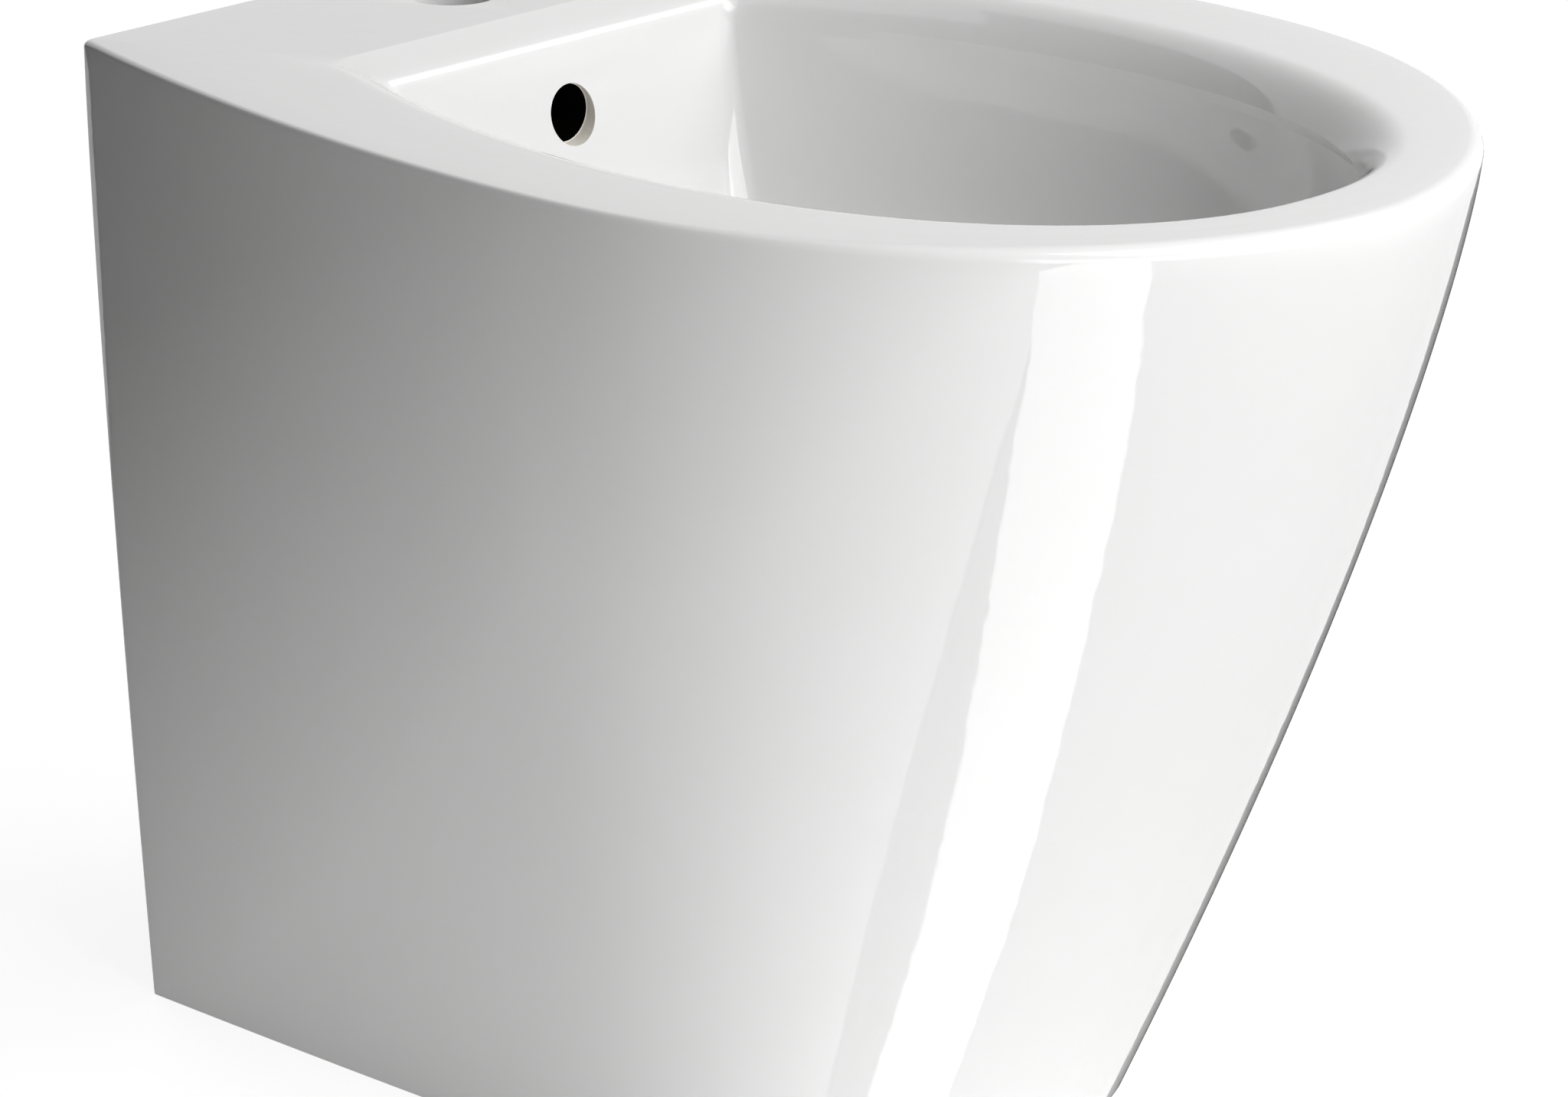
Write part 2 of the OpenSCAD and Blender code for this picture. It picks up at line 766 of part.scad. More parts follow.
module trap_cup() {
    collar_outer = trap_radius + 3.5;
    collar_bottom = head_bottom - seal_height - 5;
    base_round = 8;
    color(chrome_grey)
    at_waste()
        difference() {
            union() {
                lift(cup_bottom + base_round)
                    cylinder(r = trap_radius, h = collar_bottom - cup_bottom - base_round + 1);
                lift(cup_bottom)
                    rotate_extrude() {
                        translate([trap_radius - base_round, base_round]) circle(base_round);
                        square([trap_radius - base_round, 2 * base_round]);
                        translate([0, base_round]) square([trap_radius, base_round]);
                    }
                lift(collar_bottom)
                    cylinder(r = collar_outer, h = collar_length + seal_height + 5, $fn = 12);
            }
            lift(head_bottom - seal_height)
                cylinder(r = trap_radius + thread_clearance, h = collar_length + 10);
            lift(cup_bottom + base_round)
                cylinder(r = trap_radius - trap_wall, h = head_bottom - cup_bottom);
            lift(cup_bottom + trap_wall)
                cylinder(r1 = trap_radius - base_round, r2 = trap_radius - trap_wall,
                    h = base_round - trap_wall + eps);
        }
}

module at_branch_end() {
    translate([0, waste_y + branch_length, outlet_height]) rotate([-90, 0, 0]) children();
}

outlet_grip = 12;
module outlet_nut() {
    color(chrome_grey)
    at_branch_end() lift(-outlet_grip) compression_nut(branch_radius, outlet_grip);
}

module outlet_washer() {
    color(rubber_black)
    at_branch_end() compression_washer(branch_radius);
}

// A tube that ends at the wall, with a bead just outside the nut
bead_height = 1;
bead_width = 2;
module outlet_pipe() {
    start = waste_y + branch_length - pipe_socket + 1;
    bead_y = waste_y + branch_length + lip_reach + gap;
    color(chrome_grey)
    difference() {
        union() {
            tube_y(pipe_radius, start, wall_y, 0, outlet_height);
            tube_y(pipe_radius + bead_height, bead_y, bead_y + bead_width, 0, outlet_height);
        }
        tube_y(pipe_bore, start - 1, wall_y + 1, 0, outlet_height);
    }
}

// ---- Floor fixings ----
screw_radius = screw_diameter / 2;
sleeve_flange = 1.5;
head_height = 3.2;
head_radius = screw_radius + 2.4;
cap_wall = 1.6;
bracket_width = 34;
bracket_height = 52;
bracket_reach = 42;
boss_length = 8;
boss_outer = screw_radius + 4.5;
// The bracket's upright stands clear of the foot, which is narrower than the skirt above it
upright_x = (fixing_x - half_width(skin_outline(0, foot_wall), fixing_from_wall))
    * cos(fixing_turn) + 4;

module floor_bracket(side) {
    color(steel_grey)
    at_fixing(side)
        difference() {
            union() {
                translate([upright_x, -bracket_width / 2, 0])
                    cube([bracket_thickness, bracket_width, bracket_height]);
                translate([upright_x, -bracket_width / 2, 0])
                    cube([bracket_reach, bracket_width, bracket_thickness]);
                along_x(boss_outer, upright_x, upright_x + boss_length);
                for (edge = [0, 1])
                    translate([upright_x, edge ? bracket_width / 2 : bracket_thickness
                            - bracket_width / 2, 0])
                        rotate([90, 0, 0])
                            linear_extrude(bracket_thickness)
                                polygon([[0, 0], [bracket_reach * 0.7, 0], [0, bracket_height * 0.8]]);
            }
            along_x(screw_radius + thread_clearance / 2, upright_x - 1, upright_x + boss_length + 1);
            translate([upright_x + bracket_reach * 0.6, 0, -1])
                cylinder(d = floor_hole_diameter, h = bracket_thickness + 2);
        }
}
module floor_bracket_left() { floor_bracket(-1); }
module floor_bracket_right() { floor_bracket(1); }

head_x = spot_depth - sleeve_flange - head_height;
module fixing_screws() {
    color(steel_grey)
    for (side = [-1, 1]) at_fixing(side)
        difference() {
            union() {
                along_x(head_radius, head_x, head_x + head_height);
                along_x(screw_radius, head_x + 1, upright_x + boss_length + 4);
            }
            // Hexagon socket
            translate([head_x - 1, 0, fixing_height])
                rotate([0, 90, 0])
                    cylinder(r = screw_radius * 0.6, h = 1 + head_height * 0.75, $fn = 6);
        }
}

module fixing_sleeves() {
    color(plastic_white)
    for (side = [-1, 1]) at_fixing(side)
        difference() {
            union() {
                along_x(head_radius + 0.8, spot_depth - sleeve_flange, spot_depth);
                along_x(hole_radius - gap, spot_depth - 1, upright_x - gap / 2);
            }
            along_x(screw_radius + gap, head_x, upright_x + 1);
        }
}

module fixing_caps() {
    outer = cap_diameter / 2;
    inner = outer - cap_wall;
    top = head_x - 0.5;
    color(chrome_grey)
    for (side = [-1, 1]) at_fixing(side)
        translate([spot_depth, 0, fixing_height])
            rotate([0, -90, 0])
                rotate_extrude()
                    polygon(concat(
                        [[inner, 0], [outer, 0]],
                        [for (a = [0:15:90])
                            [outer - cap_wall * (1 - cos(a)), spot_depth - top + cap_wall * sin(a)]],
                        [[0, spot_depth - top + cap_wall], [0, spot_depth - top], [inner, spot_depth - top]]));
}

bidet_body();
waste_body();
flange_gasket();
taper_washer();
slip_washer();
back_nut();
click_cartridge();
click_spring();
plug_stem();
plug_seal();
plug_cap();
trap_inlet_nut();
trap_inlet_washer();
dip_tube();
trap_head_nut();
trap_head_washer();
trap_head();
cup_seal();
trap_cup();
outlet_nut();
outlet_washer();
outlet_pipe();
floor_bracket_left();
floor_bracket_right();
fixing_screws();
fixing_sleeves();
fixing_caps();
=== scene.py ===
"""The looks of a back-to-wall bidet in glazed china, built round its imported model."""

import math
from collections import namedtuple

import bmesh
import bpy
from mathutils import Euler, Matrix, Vector

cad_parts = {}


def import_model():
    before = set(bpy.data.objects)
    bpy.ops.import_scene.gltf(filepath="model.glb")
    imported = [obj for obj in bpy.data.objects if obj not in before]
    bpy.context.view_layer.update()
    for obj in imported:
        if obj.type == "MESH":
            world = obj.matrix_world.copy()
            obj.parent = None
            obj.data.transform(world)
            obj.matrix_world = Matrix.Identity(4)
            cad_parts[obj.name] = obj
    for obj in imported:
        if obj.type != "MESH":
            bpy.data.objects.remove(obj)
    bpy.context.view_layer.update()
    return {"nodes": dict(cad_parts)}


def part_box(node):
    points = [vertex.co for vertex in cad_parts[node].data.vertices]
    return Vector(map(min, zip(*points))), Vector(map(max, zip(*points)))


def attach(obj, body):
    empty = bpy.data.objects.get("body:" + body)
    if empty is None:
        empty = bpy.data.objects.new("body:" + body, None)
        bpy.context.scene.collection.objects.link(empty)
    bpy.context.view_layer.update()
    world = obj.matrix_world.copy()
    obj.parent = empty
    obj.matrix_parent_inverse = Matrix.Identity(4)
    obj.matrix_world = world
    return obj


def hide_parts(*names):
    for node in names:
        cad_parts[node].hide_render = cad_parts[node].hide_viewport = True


MM = 0.001
QUARTER = math.pi / 2


# ---- Formulas as node trees ----


class Field:
    """A number in a node tree that takes ordinary sums, so that a shape reads as its formula."""

    def __init__(self, tree, socket):
        self.tree = tree
        self.socket = socket

    def __add__(self, other):
        return maths(self.tree, "ADD", self, other)

    def __radd__(self, other):
        return maths(self.tree, "ADD", other, self)

    def __sub__(self, other):
        return maths(self.tree, "SUBTRACT", self, other)

    def __rsub__(self, other):
        return maths(self.tree, "SUBTRACT", other, self)

    def __mul__(self, other):
        return maths(self.tree, "MULTIPLY", self, other)

    def __rmul__(self, other):
        return maths(self.tree, "MULTIPLY", other, self)

    def __truediv__(self, other):
        return maths(self.tree, "DIVIDE", self, other)

    def __rtruediv__(self, other):
        return maths(self.tree, "DIVIDE", other, self)

    def __pow__(self, other):
        return maths(self.tree, "POWER", self, other)

    def __neg__(self):
        return maths(self.tree, "MULTIPLY", self, -1)


def feed(tree, value, socket):
    """Gives a socket a field or a plain number."""
    if isinstance(value, Field):
        tree.links.new(value.socket, socket)
    else:
        socket.default_value = value


def maths(tree, operation, *values):
    node = tree.nodes.new("ShaderNodeMath")
    node.operation = operation
    for value, socket in zip(values, node.inputs):
        feed(tree, value, socket)
    return Field(tree, node.outputs[0])


def worked(operation, plain, x, *others):
    """Works a field out in its tree, and a plain number at once."""
    if isinstance(x, Field):
        return maths(x.tree, operation, x, *others)
    return plain(x, *others)


def root(x):
    return worked("SQRT", math.sqrt, x)


def sine(x):
    return worked("SINE", math.sin, x)


def cosine(x):
    return worked("COSINE", math.cos, x)


def at_most(x, limit):
    return worked("MINIMUM", min, x, limit)


def at_least(x, limit):
    return worked("MAXIMUM", max, x, limit)


def clamped(x):
    return at_least(at_most(x, 1), 0)


def blend(a, b, share):
    return a * (1 - share) + b * share


def blend_points(a, b, share):
    return tuple(blend(p, q, share) for p, q in zip(a, b))


def named_inputs(tree, values):
    """Adds one input for each named value, and returns them as fields."""
    for name, value in values.items():
        socket = tree.interface.new_socket(name, in_out="INPUT", socket_type="NodeSocketFloat")
        socket.default_value = value
    entry = tree.nodes.new("NodeGroupInput")
    return {name: Field(tree, entry.outputs[name]) for name in values}


def geometry_tree(name, inputs):
    """A new geometry tree with one mesh output. Returns it with its inputs as fields."""
    tree = bpy.data.node_groups.new(name, "GeometryNodeTree")
    tree.interface.new_socket("Mesh", in_out="OUTPUT", socket_type="NodeSocketGeometry")
    return tree, named_inputs(tree, inputs)


def end_tree(tree, geometry, *finishes):
    """Ends a tree: real geometry, then each finish on the faces that its field picks."""
    real = tree.nodes.new("GeometryNodeRealizeInstances")
    tree.links.new(geometry, real.inputs[0])
    last = real.outputs[0]
    for finish, picked in finishes:
        node = tree.nodes.new("GeometryNodeSetMaterial")
        node.inputs["Material"].default_value = finish
        if picked:
            tree.links.new(picked.socket, node.inputs["Selection"])
        tree.links.new(last, node.inputs["Geometry"])
        last = node.outputs[0]
    tree.links.new(last, tree.nodes.new("NodeGroupOutput").inputs["Mesh"])


def grow(name, tree, inputs):
    """Runs a geometry tree with these inputs and returns the result as a plain mesh object."""
    holder = bpy.data.objects.new(name + "_tree", bpy.data.meshes.new(name + "_tree"))
    bpy.context.scene.collection.objects.link(holder)
    modifier = holder.modifiers.new("Shape", "NODES")
    modifier.node_group = tree
    for item in tree.interface.items_tree:
        if item.name in inputs:
            modifier[item.identifier] = inputs[item.name]
    grown = bpy.data.objects.new(name, baked_mesh(holder))
    bpy.context.scene.collection.objects.link(grown)
    holder.modifiers.clear()
    bpy.data.objects.remove(holder)
    return grown


def baked_mesh(thing):
    depsgraph = bpy.context.evaluated_depsgraph_get()
    return bpy.data.meshes.new_from_object(thing.evaluated_get(depsgraph), depsgraph=depsgraph)


# ---- The china's shape, in millimetres: x across, s from the wall, z up ----

CHINA_SIZES = {
    "Width": 389,
    "Back width": 297,
    "Shoulder": 300,
    "Foot length": 369,
    "Foot width": 252,
    "Foot back width": 253,
    "Foot shoulder": 268,
    "Skirt wall": 12,
    "Foot wall": 15,
    "Deck thickness": 14,
    "Edge radius": 2.5,
    "Nose edge radius": 7,
    "Back corner radius": 3,
    "Bowl back": 95,
    "Bowl back width": 220,
    "Bowl shoulder": 290,
    "Side rim": 42,
    "Nose rim": 30,
    "Bowl floor": 232,
    "Bowl wall": 12,
    "Rim roll": 18,
    "Rim roll drop": 15.5,
    "Rim undercut": 10,
    "Back chamfer": 19,
    "Back chamfer drop": 8,
    "Chamfer fillet": 3,
    "Waste": 250,
}
# The opening in the back, and how deep its cutter goes into the wall
SERVICE_WIDTH = 200
SERVICE_HEIGHT = 340
SERVICE_CORNER = 25
SERVICE_CORNER_STEPS = 12
SERVICE_CUT = 24
# The tap hole, with the flare at its upper edge
TAP_HOLE_RADIUS = 17.5
TAP_FROM_WALL = 53
TAP_FLARE = 0.5
TAP_FLARE_STEPS = 6
TAP_OVERCUT = 5
# The overflow hole. Its cutter starts in the bowl, and so far from there its unglazed face ends
# and the sleeve round it starts. Behind the face it is a step narrower and painted near-black as
# shade.
OVERFLOW_RADIUS = 12
OVERFLOW_BELOW_RIM = 37
OVERFLOW_FACE = 11
OVERFLOW_SLEEVE = 14.5
OVERFLOW_STEP = 0.4
OVERFLOW_OVERLAP = 0.5
# The water way from the overflow down to the waste
DUCT_RADIUS = 8.5
DUCT_WALL = 6
DUCT_FOOT = 3
DUCT_OVERLAP = 2
# The waste hole with its boss, and the chamber round it that the water way ends in
WASTE_HOLE_RADIUS = 23
SEAT_RECESS = 4
SEAT_STEP = 1
BOSS_HEIGHT = 30
BOSS_RADIUS = WASTE_HOLE_RADIUS + 15
CHAMBER_HEIGHT = 14
CHAMBER_RADIUS = WASTE_HOLE_RADIUS + 4
BOWL_FLOOR_RADIUS = 35
UNDER_FLOOR_RADIUS = BOSS_RADIUS - 5
UNDER_FLOOR_EXTRA = 2
FIT_GAP = 0.3
# How far a cutter goes past the surface that it opens
OVERCUT = 1
TURNED_SIDES = 96
CREASE_DEGREES = 20
WELD_DISTANCE = 1e-5

# How the skirt grows from foot to rim at the nose, the side and the back, as powers
NOSE_SWEEP = 1.2
SIDE_SWEEP = 1.8
BACK_SWEEP = 1.35
# How the deck's edge radius grows towards the nose, as a power
EDGE_GROWTH = 1.6
# The skirt's wall changes from the foot's thickness to its own up to one third of the height
WALL_CHANGE = 3
# The soft stretch round an outline's shoulder in millimetres, and the power of its oval
SKIN_MELT = 60
SKIN_ROUNDNESS = 1.8
BOWL_MELT = 30
BOWL_ROUNDNESS = 2.2
# The radius of the bowl's back corners at its edge, and what they gain down to the floor
BOWL_CORNER = 4
CORNER_GROWTH = 30
# How the bowl's wall leans in, and how it turns into the floor, as powers of the depth
WALL_LEAN = 0.21
BOWL_POWER = 2.6
FLOOR_POWER = 6
# The undercut goes down to this share of the bowl's depth, and this power pulls it up the wall.
# It grows along the side and the nose by these weights, to this power.
UNDERCUT_DEPTH = 0.5
UNDERCUT_PULL = 0.5
UNDERCUT_SIDE = 12
UNDERCUT_NOSE = 15
UNDERCUT_GROWTH = 1.5
# How much of the back's chamfer is gone at the end of the corner, and how fast the side ends it
CHAMFER_CORNER_MELT = 0.75
CHAMFER_SIDE_MELT = 3
FILLET_POWER = 3
# The roll is this share of a quarter turn, so it ends in a crisp edge above the bowl's wall
ROLL_SHARE = 0.5
ROLL_TURN = QUARTER * ROLL_SHARE

# Columns of a half ring along the back edge, the corner, the side and the nose
COLUMN_STEPS = (8, 8, 40, 44)
COLUMNS = sum(COLUMN_STEPS)

Outline = namedtuple("Outline", "half_back half_width back shoulder nose corner melt roundness")


def ramp(x, melt):
    """x above zero, 0 below it, with a soft bend in between."""
    return (x + root(x * x + melt * melt)) / 2


def half_width(o, s):
    """Half width of an outline at s from the wall: a parabola to the shoulder, then an oval."""
    to_back = ramp(o.shoulder - o.back, o.melt)
    to_nose = ramp(o.nose - o.shoulder, o.melt)
    side = ramp(o.shoulder - s, o.melt) / to_back
    nose = at_most(ramp(s - o.shoulder, o.melt) / to_nose, 1)
    side_mid = o.melt / 2 / to_back
    nose_mid = o.melt / 2 / to_nose
    oval_mid = (1 - nose_mid**2) ** (1 / o.roundness)
    full = (o.half_width - o.half_back * side_mid**2) / (oval_mid - side_mid**2)
    oval = full * (1 - nose**2) ** (1 / o.roundness)
    return at_least(oval - (full - o.half_back) * side**2, 0)


def stretches(column):
    """How far a column has come along the back, the corner, the side and the nose, 0 to 1 each."""
    shares = []
    passed = 0
    for steps in COLUMN_STEPS:
        shares.append(clamped((column * COLUMNS - passed) / steps))
        passed += steps
    return shares


def outline_point(o, column):
    back, corner, side, nose = stretches(column)
    turn = corner * QUARTER
    s = o.back + o.corner * (1 - cosine(turn))
    s = s + (o.shoulder - o.back - o.corner) * side + (o.nose - o.shoulder) * sine(nose * QUARTER)
    x = (half_width(o, s) - o.corner * (1 - sine(turn))) * back
    # The last column lies exactly on the middle plane
    return x * clamped((1 - column) * COLUMNS * 2), s


class ChinaShape:
    """The rings that the casting is made of, each a point for a column and a share along it."""

    def __init__(self, size):
        self.size = size
        self.inner_rise = (size["Height"] - size["Deck thickness"]) / size["Height"]
        self.floor_z = size["Bowl floor"]
        self.under_z = self.floor_z - size["Bowl wall"] - UNDER_FLOOR_EXTRA

    def skin_outline(self, rise, inset):
        size = self.size

        def swept(top, foot, power):
            return size[top] - (size[top] - size[foot]) * (1 - rise) ** power

        return Outline(
            half_back=swept("Back width", "Foot back width", BACK_SWEEP) / 2 - inset,
            half_width=swept("Width", "Foot width", SIDE_SWEEP) / 2 - inset,
            back=inset,
            shoulder=swept("Shoulder", "Foot shoulder", NOSE_SWEEP),
            nose=swept("Length", "Foot length", NOSE_SWEEP) - inset,
            corner=size["Back corner radius"],
            melt=SKIN_MELT,
            roundness=SKIN_ROUNDNESS,
        )

    def edge_radius(self, s):
        """The deck's edge radius, which grows from the shoulder to the nose."""
        size = self.size
        share = at_least((s - size["Shoulder"]) / (size["Length"] - size["Shoulder"]), 0)
        return blend(size["Edge radius"], size["Nose edge radius"], share**EDGE_GROWTH)

    def edge(self, column, turn):
        x, s = outline_point(self.skin_outline(1, 0), column)
        inner_x, inner_s = outline_point(self.skin_outline(1, 1), column)
        radius = self.edge_radius(s)
        inward = radius * (1 - cosine(turn))
        z = self.size["Height"] - radius * (1 - sine(turn))
        return x + (inner_x - x) * inward, s + (inner_s - s) * inward, z

    def skin(self, column, rise):
        top_s = outline_point(self.skin_outline(1, 0), column)[1]
        x, s = outline_point(self.skin_outline(rise, 0), column)
        return x, s, (self.size["Height"] - self.edge_radius(top_s)) * rise

    def inside(self, column, rise):
        share = at_most(rise * WALL_CHANGE, 1)
        wall = blend(self.size["Foot wall"], self.size["Skirt wall"], share)
        x, s = outline_point(self.skin_outline(rise, wall), column)
        return x, s, self.size["Height"] * rise

    def bowl_outline(self, outset, back_outset, corner):
        size = self.size
        return Outline(
            half_back=size["Bowl back width"] / 2 + outset,
            half_width=size["Width"] / 2 - size["Side rim"] + outset,
            back=size["Bowl back"] - back_outset,
            shoulder=size["Bowl shoulder"],
            nose=size["Length"] - size["Nose rim"] + outset,
            corner=corner,
            melt=BOWL_MELT,
            roundness=BOWL_ROUNDNESS,
        )

    def roll(self, column, turn, corner=BOWL_CORNER):
        """The rim's roll, from the deck's flat at turn 0 to the bowl's wall at a quarter turn."""
        size = self.size
        outset = -size["Rim roll"] * sine(turn * ROLL_SHARE) / math.sin(ROLL_TURN)
        x, s = outline_point(
            self.bowl_outline(outset, -size["Back chamfer"] * sine(turn), corner), column
        )
        # Along the back the roll is a flat chamfer, which melts into the roll round the corner
        _, corner_share, side, _ = stretches(column)
        chamfer = clamped(1 - CHAMFER_CORNER_MELT * corner_share - CHAMFER_SIDE_MELT * side)
        full_drop = size["Rim roll drop"] / (1 - math.cos(ROLL_TURN))
        rolled = full_drop * (1 - cosine(turn * ROLL_SHARE))
        flat = size["Back chamfer drop"] * sine(turn)
        flat = flat + size["Chamfer fillet"] * (1 - cosine(turn)) ** FILLET_POWER
        return x, s, size["Height"] - blend(rolled, flat, chamfer)

    def towards_waste(self, point, depth, floor_z, floor_radius, undercut):
        """Where point comes to lie at a depth of 0, the bowl's edge, to 1, its floor."""
        x, s, z = point
        arm_s = s - self.size["Waste"]
        arm = root(x * x + arm_s * arm_s)
        scale = (1 - WALL_LEAN * depth) * (1 - depth**BOWL_POWER) ** (1 / BOWL_POWER)
        hollow = undercut * sine(at_most(depth / UNDERCUT_DEPTH, 1) ** UNDERCUT_PULL * math.pi)
        reach = blend(arm * scale + hollow, floor_radius, depth**FLOOR_POWER)
        return x / arm * reach, self.size["Waste"] + arm_s / arm * reach, blend(z, floor_z, depth)

    def bowl(self, column, depth):
        edge = self.roll(column, QUARTER, BOWL_CORNER + CORNER_GROWTH * depth**2)
        _, _, side, nose = stretches(column)
        share = (side * UNDERCUT_SIDE + nose * UNDERCUT_NOSE) / (UNDERCUT_SIDE + UNDERCUT_NOSE)
        undercut = self.size["Rim undercut"] * share**UNDERCUT_GROWTH
        return self.towards_waste(edge, depth, self.floor_z, BOWL_FLOOR_RADIUS, undercut)

    def underside(self, column, depth):
        size = self.size
        outset = size["Bowl wall"] + size["Rim undercut"] - size["Rim roll"]
        corner = BOWL_CORNER + size["Bowl wall"] / 2 + CORNER_GROWTH * depth**2
        outline = self.bowl_outline(outset, size["Bowl wall"] - size["Back chamfer"], corner)
        x, s = outline_point(outline, column)
        edge = (x, s, size["Height"] - size["Deck thickness"])
        return self.towards_waste(edge, depth, self.under_z, UNDER_FLOOR_RADIUS, 0)

    def waste_axis(self, z):
        return 0, self.size["Waste"], z


# Each patch of the casting: its name, its rows, and the place of a row's share and a column
CASTING_PATCHES = (
    ("Bowl_floor", 1, lambda china, r, c: blend_points(
        china.waste_axis(china.floor_z), china.bowl(c, 1), r)),
    ("Bowl", 52, lambda china, r, c: china.bowl(c, sine(r * QUARTER))),
    ("Rim_roll", 12, lambda china, r, c: china.roll(c, r * QUARTER)),
    ("Deck", 3, lambda china, r, c: blend_points(china.roll(c, 0), china.edge(c, QUARTER), r)),
    ("Deck_edge", 8, lambda china, r, c: china.edge(c, r * QUARTER)),
    ("Skirt", 48, lambda china, r, c: china.skin(c, r)),
    ("Foot_edge", 1, lambda china, r, c: blend_points(china.skin(c, 0), china.inside(c, 0), r)),
    ("Inside", 12, lambda china, r, c: china.inside(c, china.inner_rise * r)),
    ("Deck_underside", 1, lambda china, r, c: blend_points(
        china.inside(c, china.inner_rise), china.underside(c, 0), r)),
    ("Bowl_underside", 28, lambda china, r, c: china.underside(c, sine(r * QUARTER))),
    ("Under_floor", 1, lambda china, r, c: blend_points(
        china.waste_axis(china.under_z), china.underside(c, 1), r)),
)


def patch_tree(name, rows, place, inputs):
    """A grid of quads whose points are placed by a formula of their row and column."""
    tree, size = geometry_tree(name, inputs)
    grid = tree.nodes.new("GeometryNodeMeshGrid")
    grid.inputs["Vertices X"].default_value = rows + 1
    grid.inputs["Vertices Y"].default_value = COLUMNS + 1
    split = tree.nodes.new("ShaderNodeSeparateXYZ")
    tree.links.new(tree.nodes.new("GeometryNodeInputPosition").outputs[0], split.inputs[0])
    row, column = (Field(tree, split.outputs[axis]) + 0.5 for axis in "XY")
    x, s, z = place(ChinaShape(size), row, column)
    joined = tree.nodes.new("ShaderNodeCombineXYZ")
    for value, socket in zip((x * MM, (size["Wall"] - s) * MM, z * MM), joined.inputs):
        feed(tree, value, socket)
    placed = tree.nodes.new("GeometryNodeSetPosition")
    tree.links.new(grid.outputs["Mesh"], placed.inputs["Geometry"])
    tree.links.new(joined.outputs[0], placed.inputs["Position"])
    tree.links.new(placed.outputs[0], tree.nodes.new("NodeGroupOutput").inputs["Mesh"])
    return tree


def casting_tree(inputs, glaze, bare):
    """Half the casting's patches, mirrored, joined and welded to one closed shell."""
    tree, size = geometry_tree("China_casting", inputs)
    half = tree.nodes.new("GeometryNodeJoinGeometry")
    for name, rows, place in CASTING_PATCHES:
        patch = tree.nodes.new("GeometryNodeGroup")
        patch.node_tree = patch_tree(name, rows, place, inputs)
        for label, value in size.items():
            feed(tree, value, patch.inputs[label])
        tree.links.new(patch.outputs[0], half.inputs[0])
    mirror = tree.nodes.new("GeometryNodeTransform")
    mirror.inputs["Scale"].default_value = (-1, 1, 1)
    tree.links.new(half.outputs[0], mirror.inputs["Geometry"])
    both = tree.nodes.new("GeometryNodeJoinGeometry")
    tree.links.new(half.outputs[0], both.inputs[0])
    tree.links.new(mirror.outputs[0], both.inputs[0])
    weld = tree.nodes.new("GeometryNodeMergeByDistance")
    weld.inputs["Distance"].default_value = WELD_DISTANCE
    tree.links.new(both.outputs[0], weld.inputs["Geometry"])
    height = tree.nodes.new("ShaderNodeSeparateXYZ")
    tree.links.new(tree.nodes.new("GeometryNodeInputPosition").outputs[0], height.inputs[0])
    on_floor = maths(tree, "LESS_THAN", Field(tree, height.outputs["Z"]), WELD_DISTANCE)
    end_tree(tree, weld.outputs[0], (glaze, None), (bare, on_floor))
    return tree


# ---- Cutting and joining ----


def new_object(name, mesh):
    thing = bpy.data.objects.new(name, mesh)
    bpy.context.scene.collection.objects.link(thing)
    return thing


def turned(name, profile, finish, place):
    """A closed solid of revolution about Z from (radius, height) points, in millimetres."""
    mesh = bmesh.new()
    rings = []
    sides = TURNED_SIDES
    angles = [2 * math.pi * k / sides for k in range(sides)]
    for radius, height in profile:
        rings.append([
            mesh.verts.new((radius * math.cos(a) * MM, radius * math.sin(a) * MM, height * MM))
            for a in angles
        ])
    for low, high in zip(rings, rings[1:]):
        for k in range(sides):
            mesh.faces.new((low[k], low[(k + 1) % sides], high[(k + 1) % sides], high[k]))
    mesh.faces.new(reversed(rings[0]))
    mesh.faces.new(rings[-1])
    bmesh.ops.transform(mesh, matrix=place, verts=mesh.verts)
    data = bpy.data.meshes.new(name)
    mesh.to_mesh(data)
    mesh.free()
    data.materials.append(finish)
    return new_object(name, data)


def at_point(x, y, z):
    return Matrix.Translation((x * MM, y * MM, z * MM))


def combined(piece, operation, tools):
    """Joins tools to a piece or cuts them out of it, and removes them."""
    for tool in tools:
        modifier = piece.modifiers.new(tool.name, "BOOLEAN")
        modifier.operation = operation
        modifier.solver = "MANIFOLD"
        modifier.material_mode = "TRANSFER"
        modifier.object = tool
    mesh = baked_mesh(piece)
    piece.modifiers.clear()
    piece.data = mesh
    for tool in tools:
        bpy.data.objects.remove(tool)


def smoothed(piece):
    """Points the faces outwards and shades them smooth, with creases past an angle."""
    mesh = bmesh.new()
    mesh.from_mesh(piece.data)
    bmesh.ops.recalc_face_normals(mesh, faces=mesh.faces)
    mesh.to_mesh(piece.data)
    mesh.free()
    piece.data.shade_smooth()
    piece.data.set_sharp_from_angle(angle=math.radians(CREASE_DEGREES))


# ---- The china ----

# Where the axes of the side screws meet the skirt, and their turn from straight across
FIXING_X = 129.828
FIXING_Y = -25
FIXING_TURN = 16.26
HOLE_RADIUS = 6.5
HOLE_DEPTH = 45
SPOT_DEPTH = 4.5
SPOT_CLEARANCE = 0.8
SPOT_OUTSIDE = 10


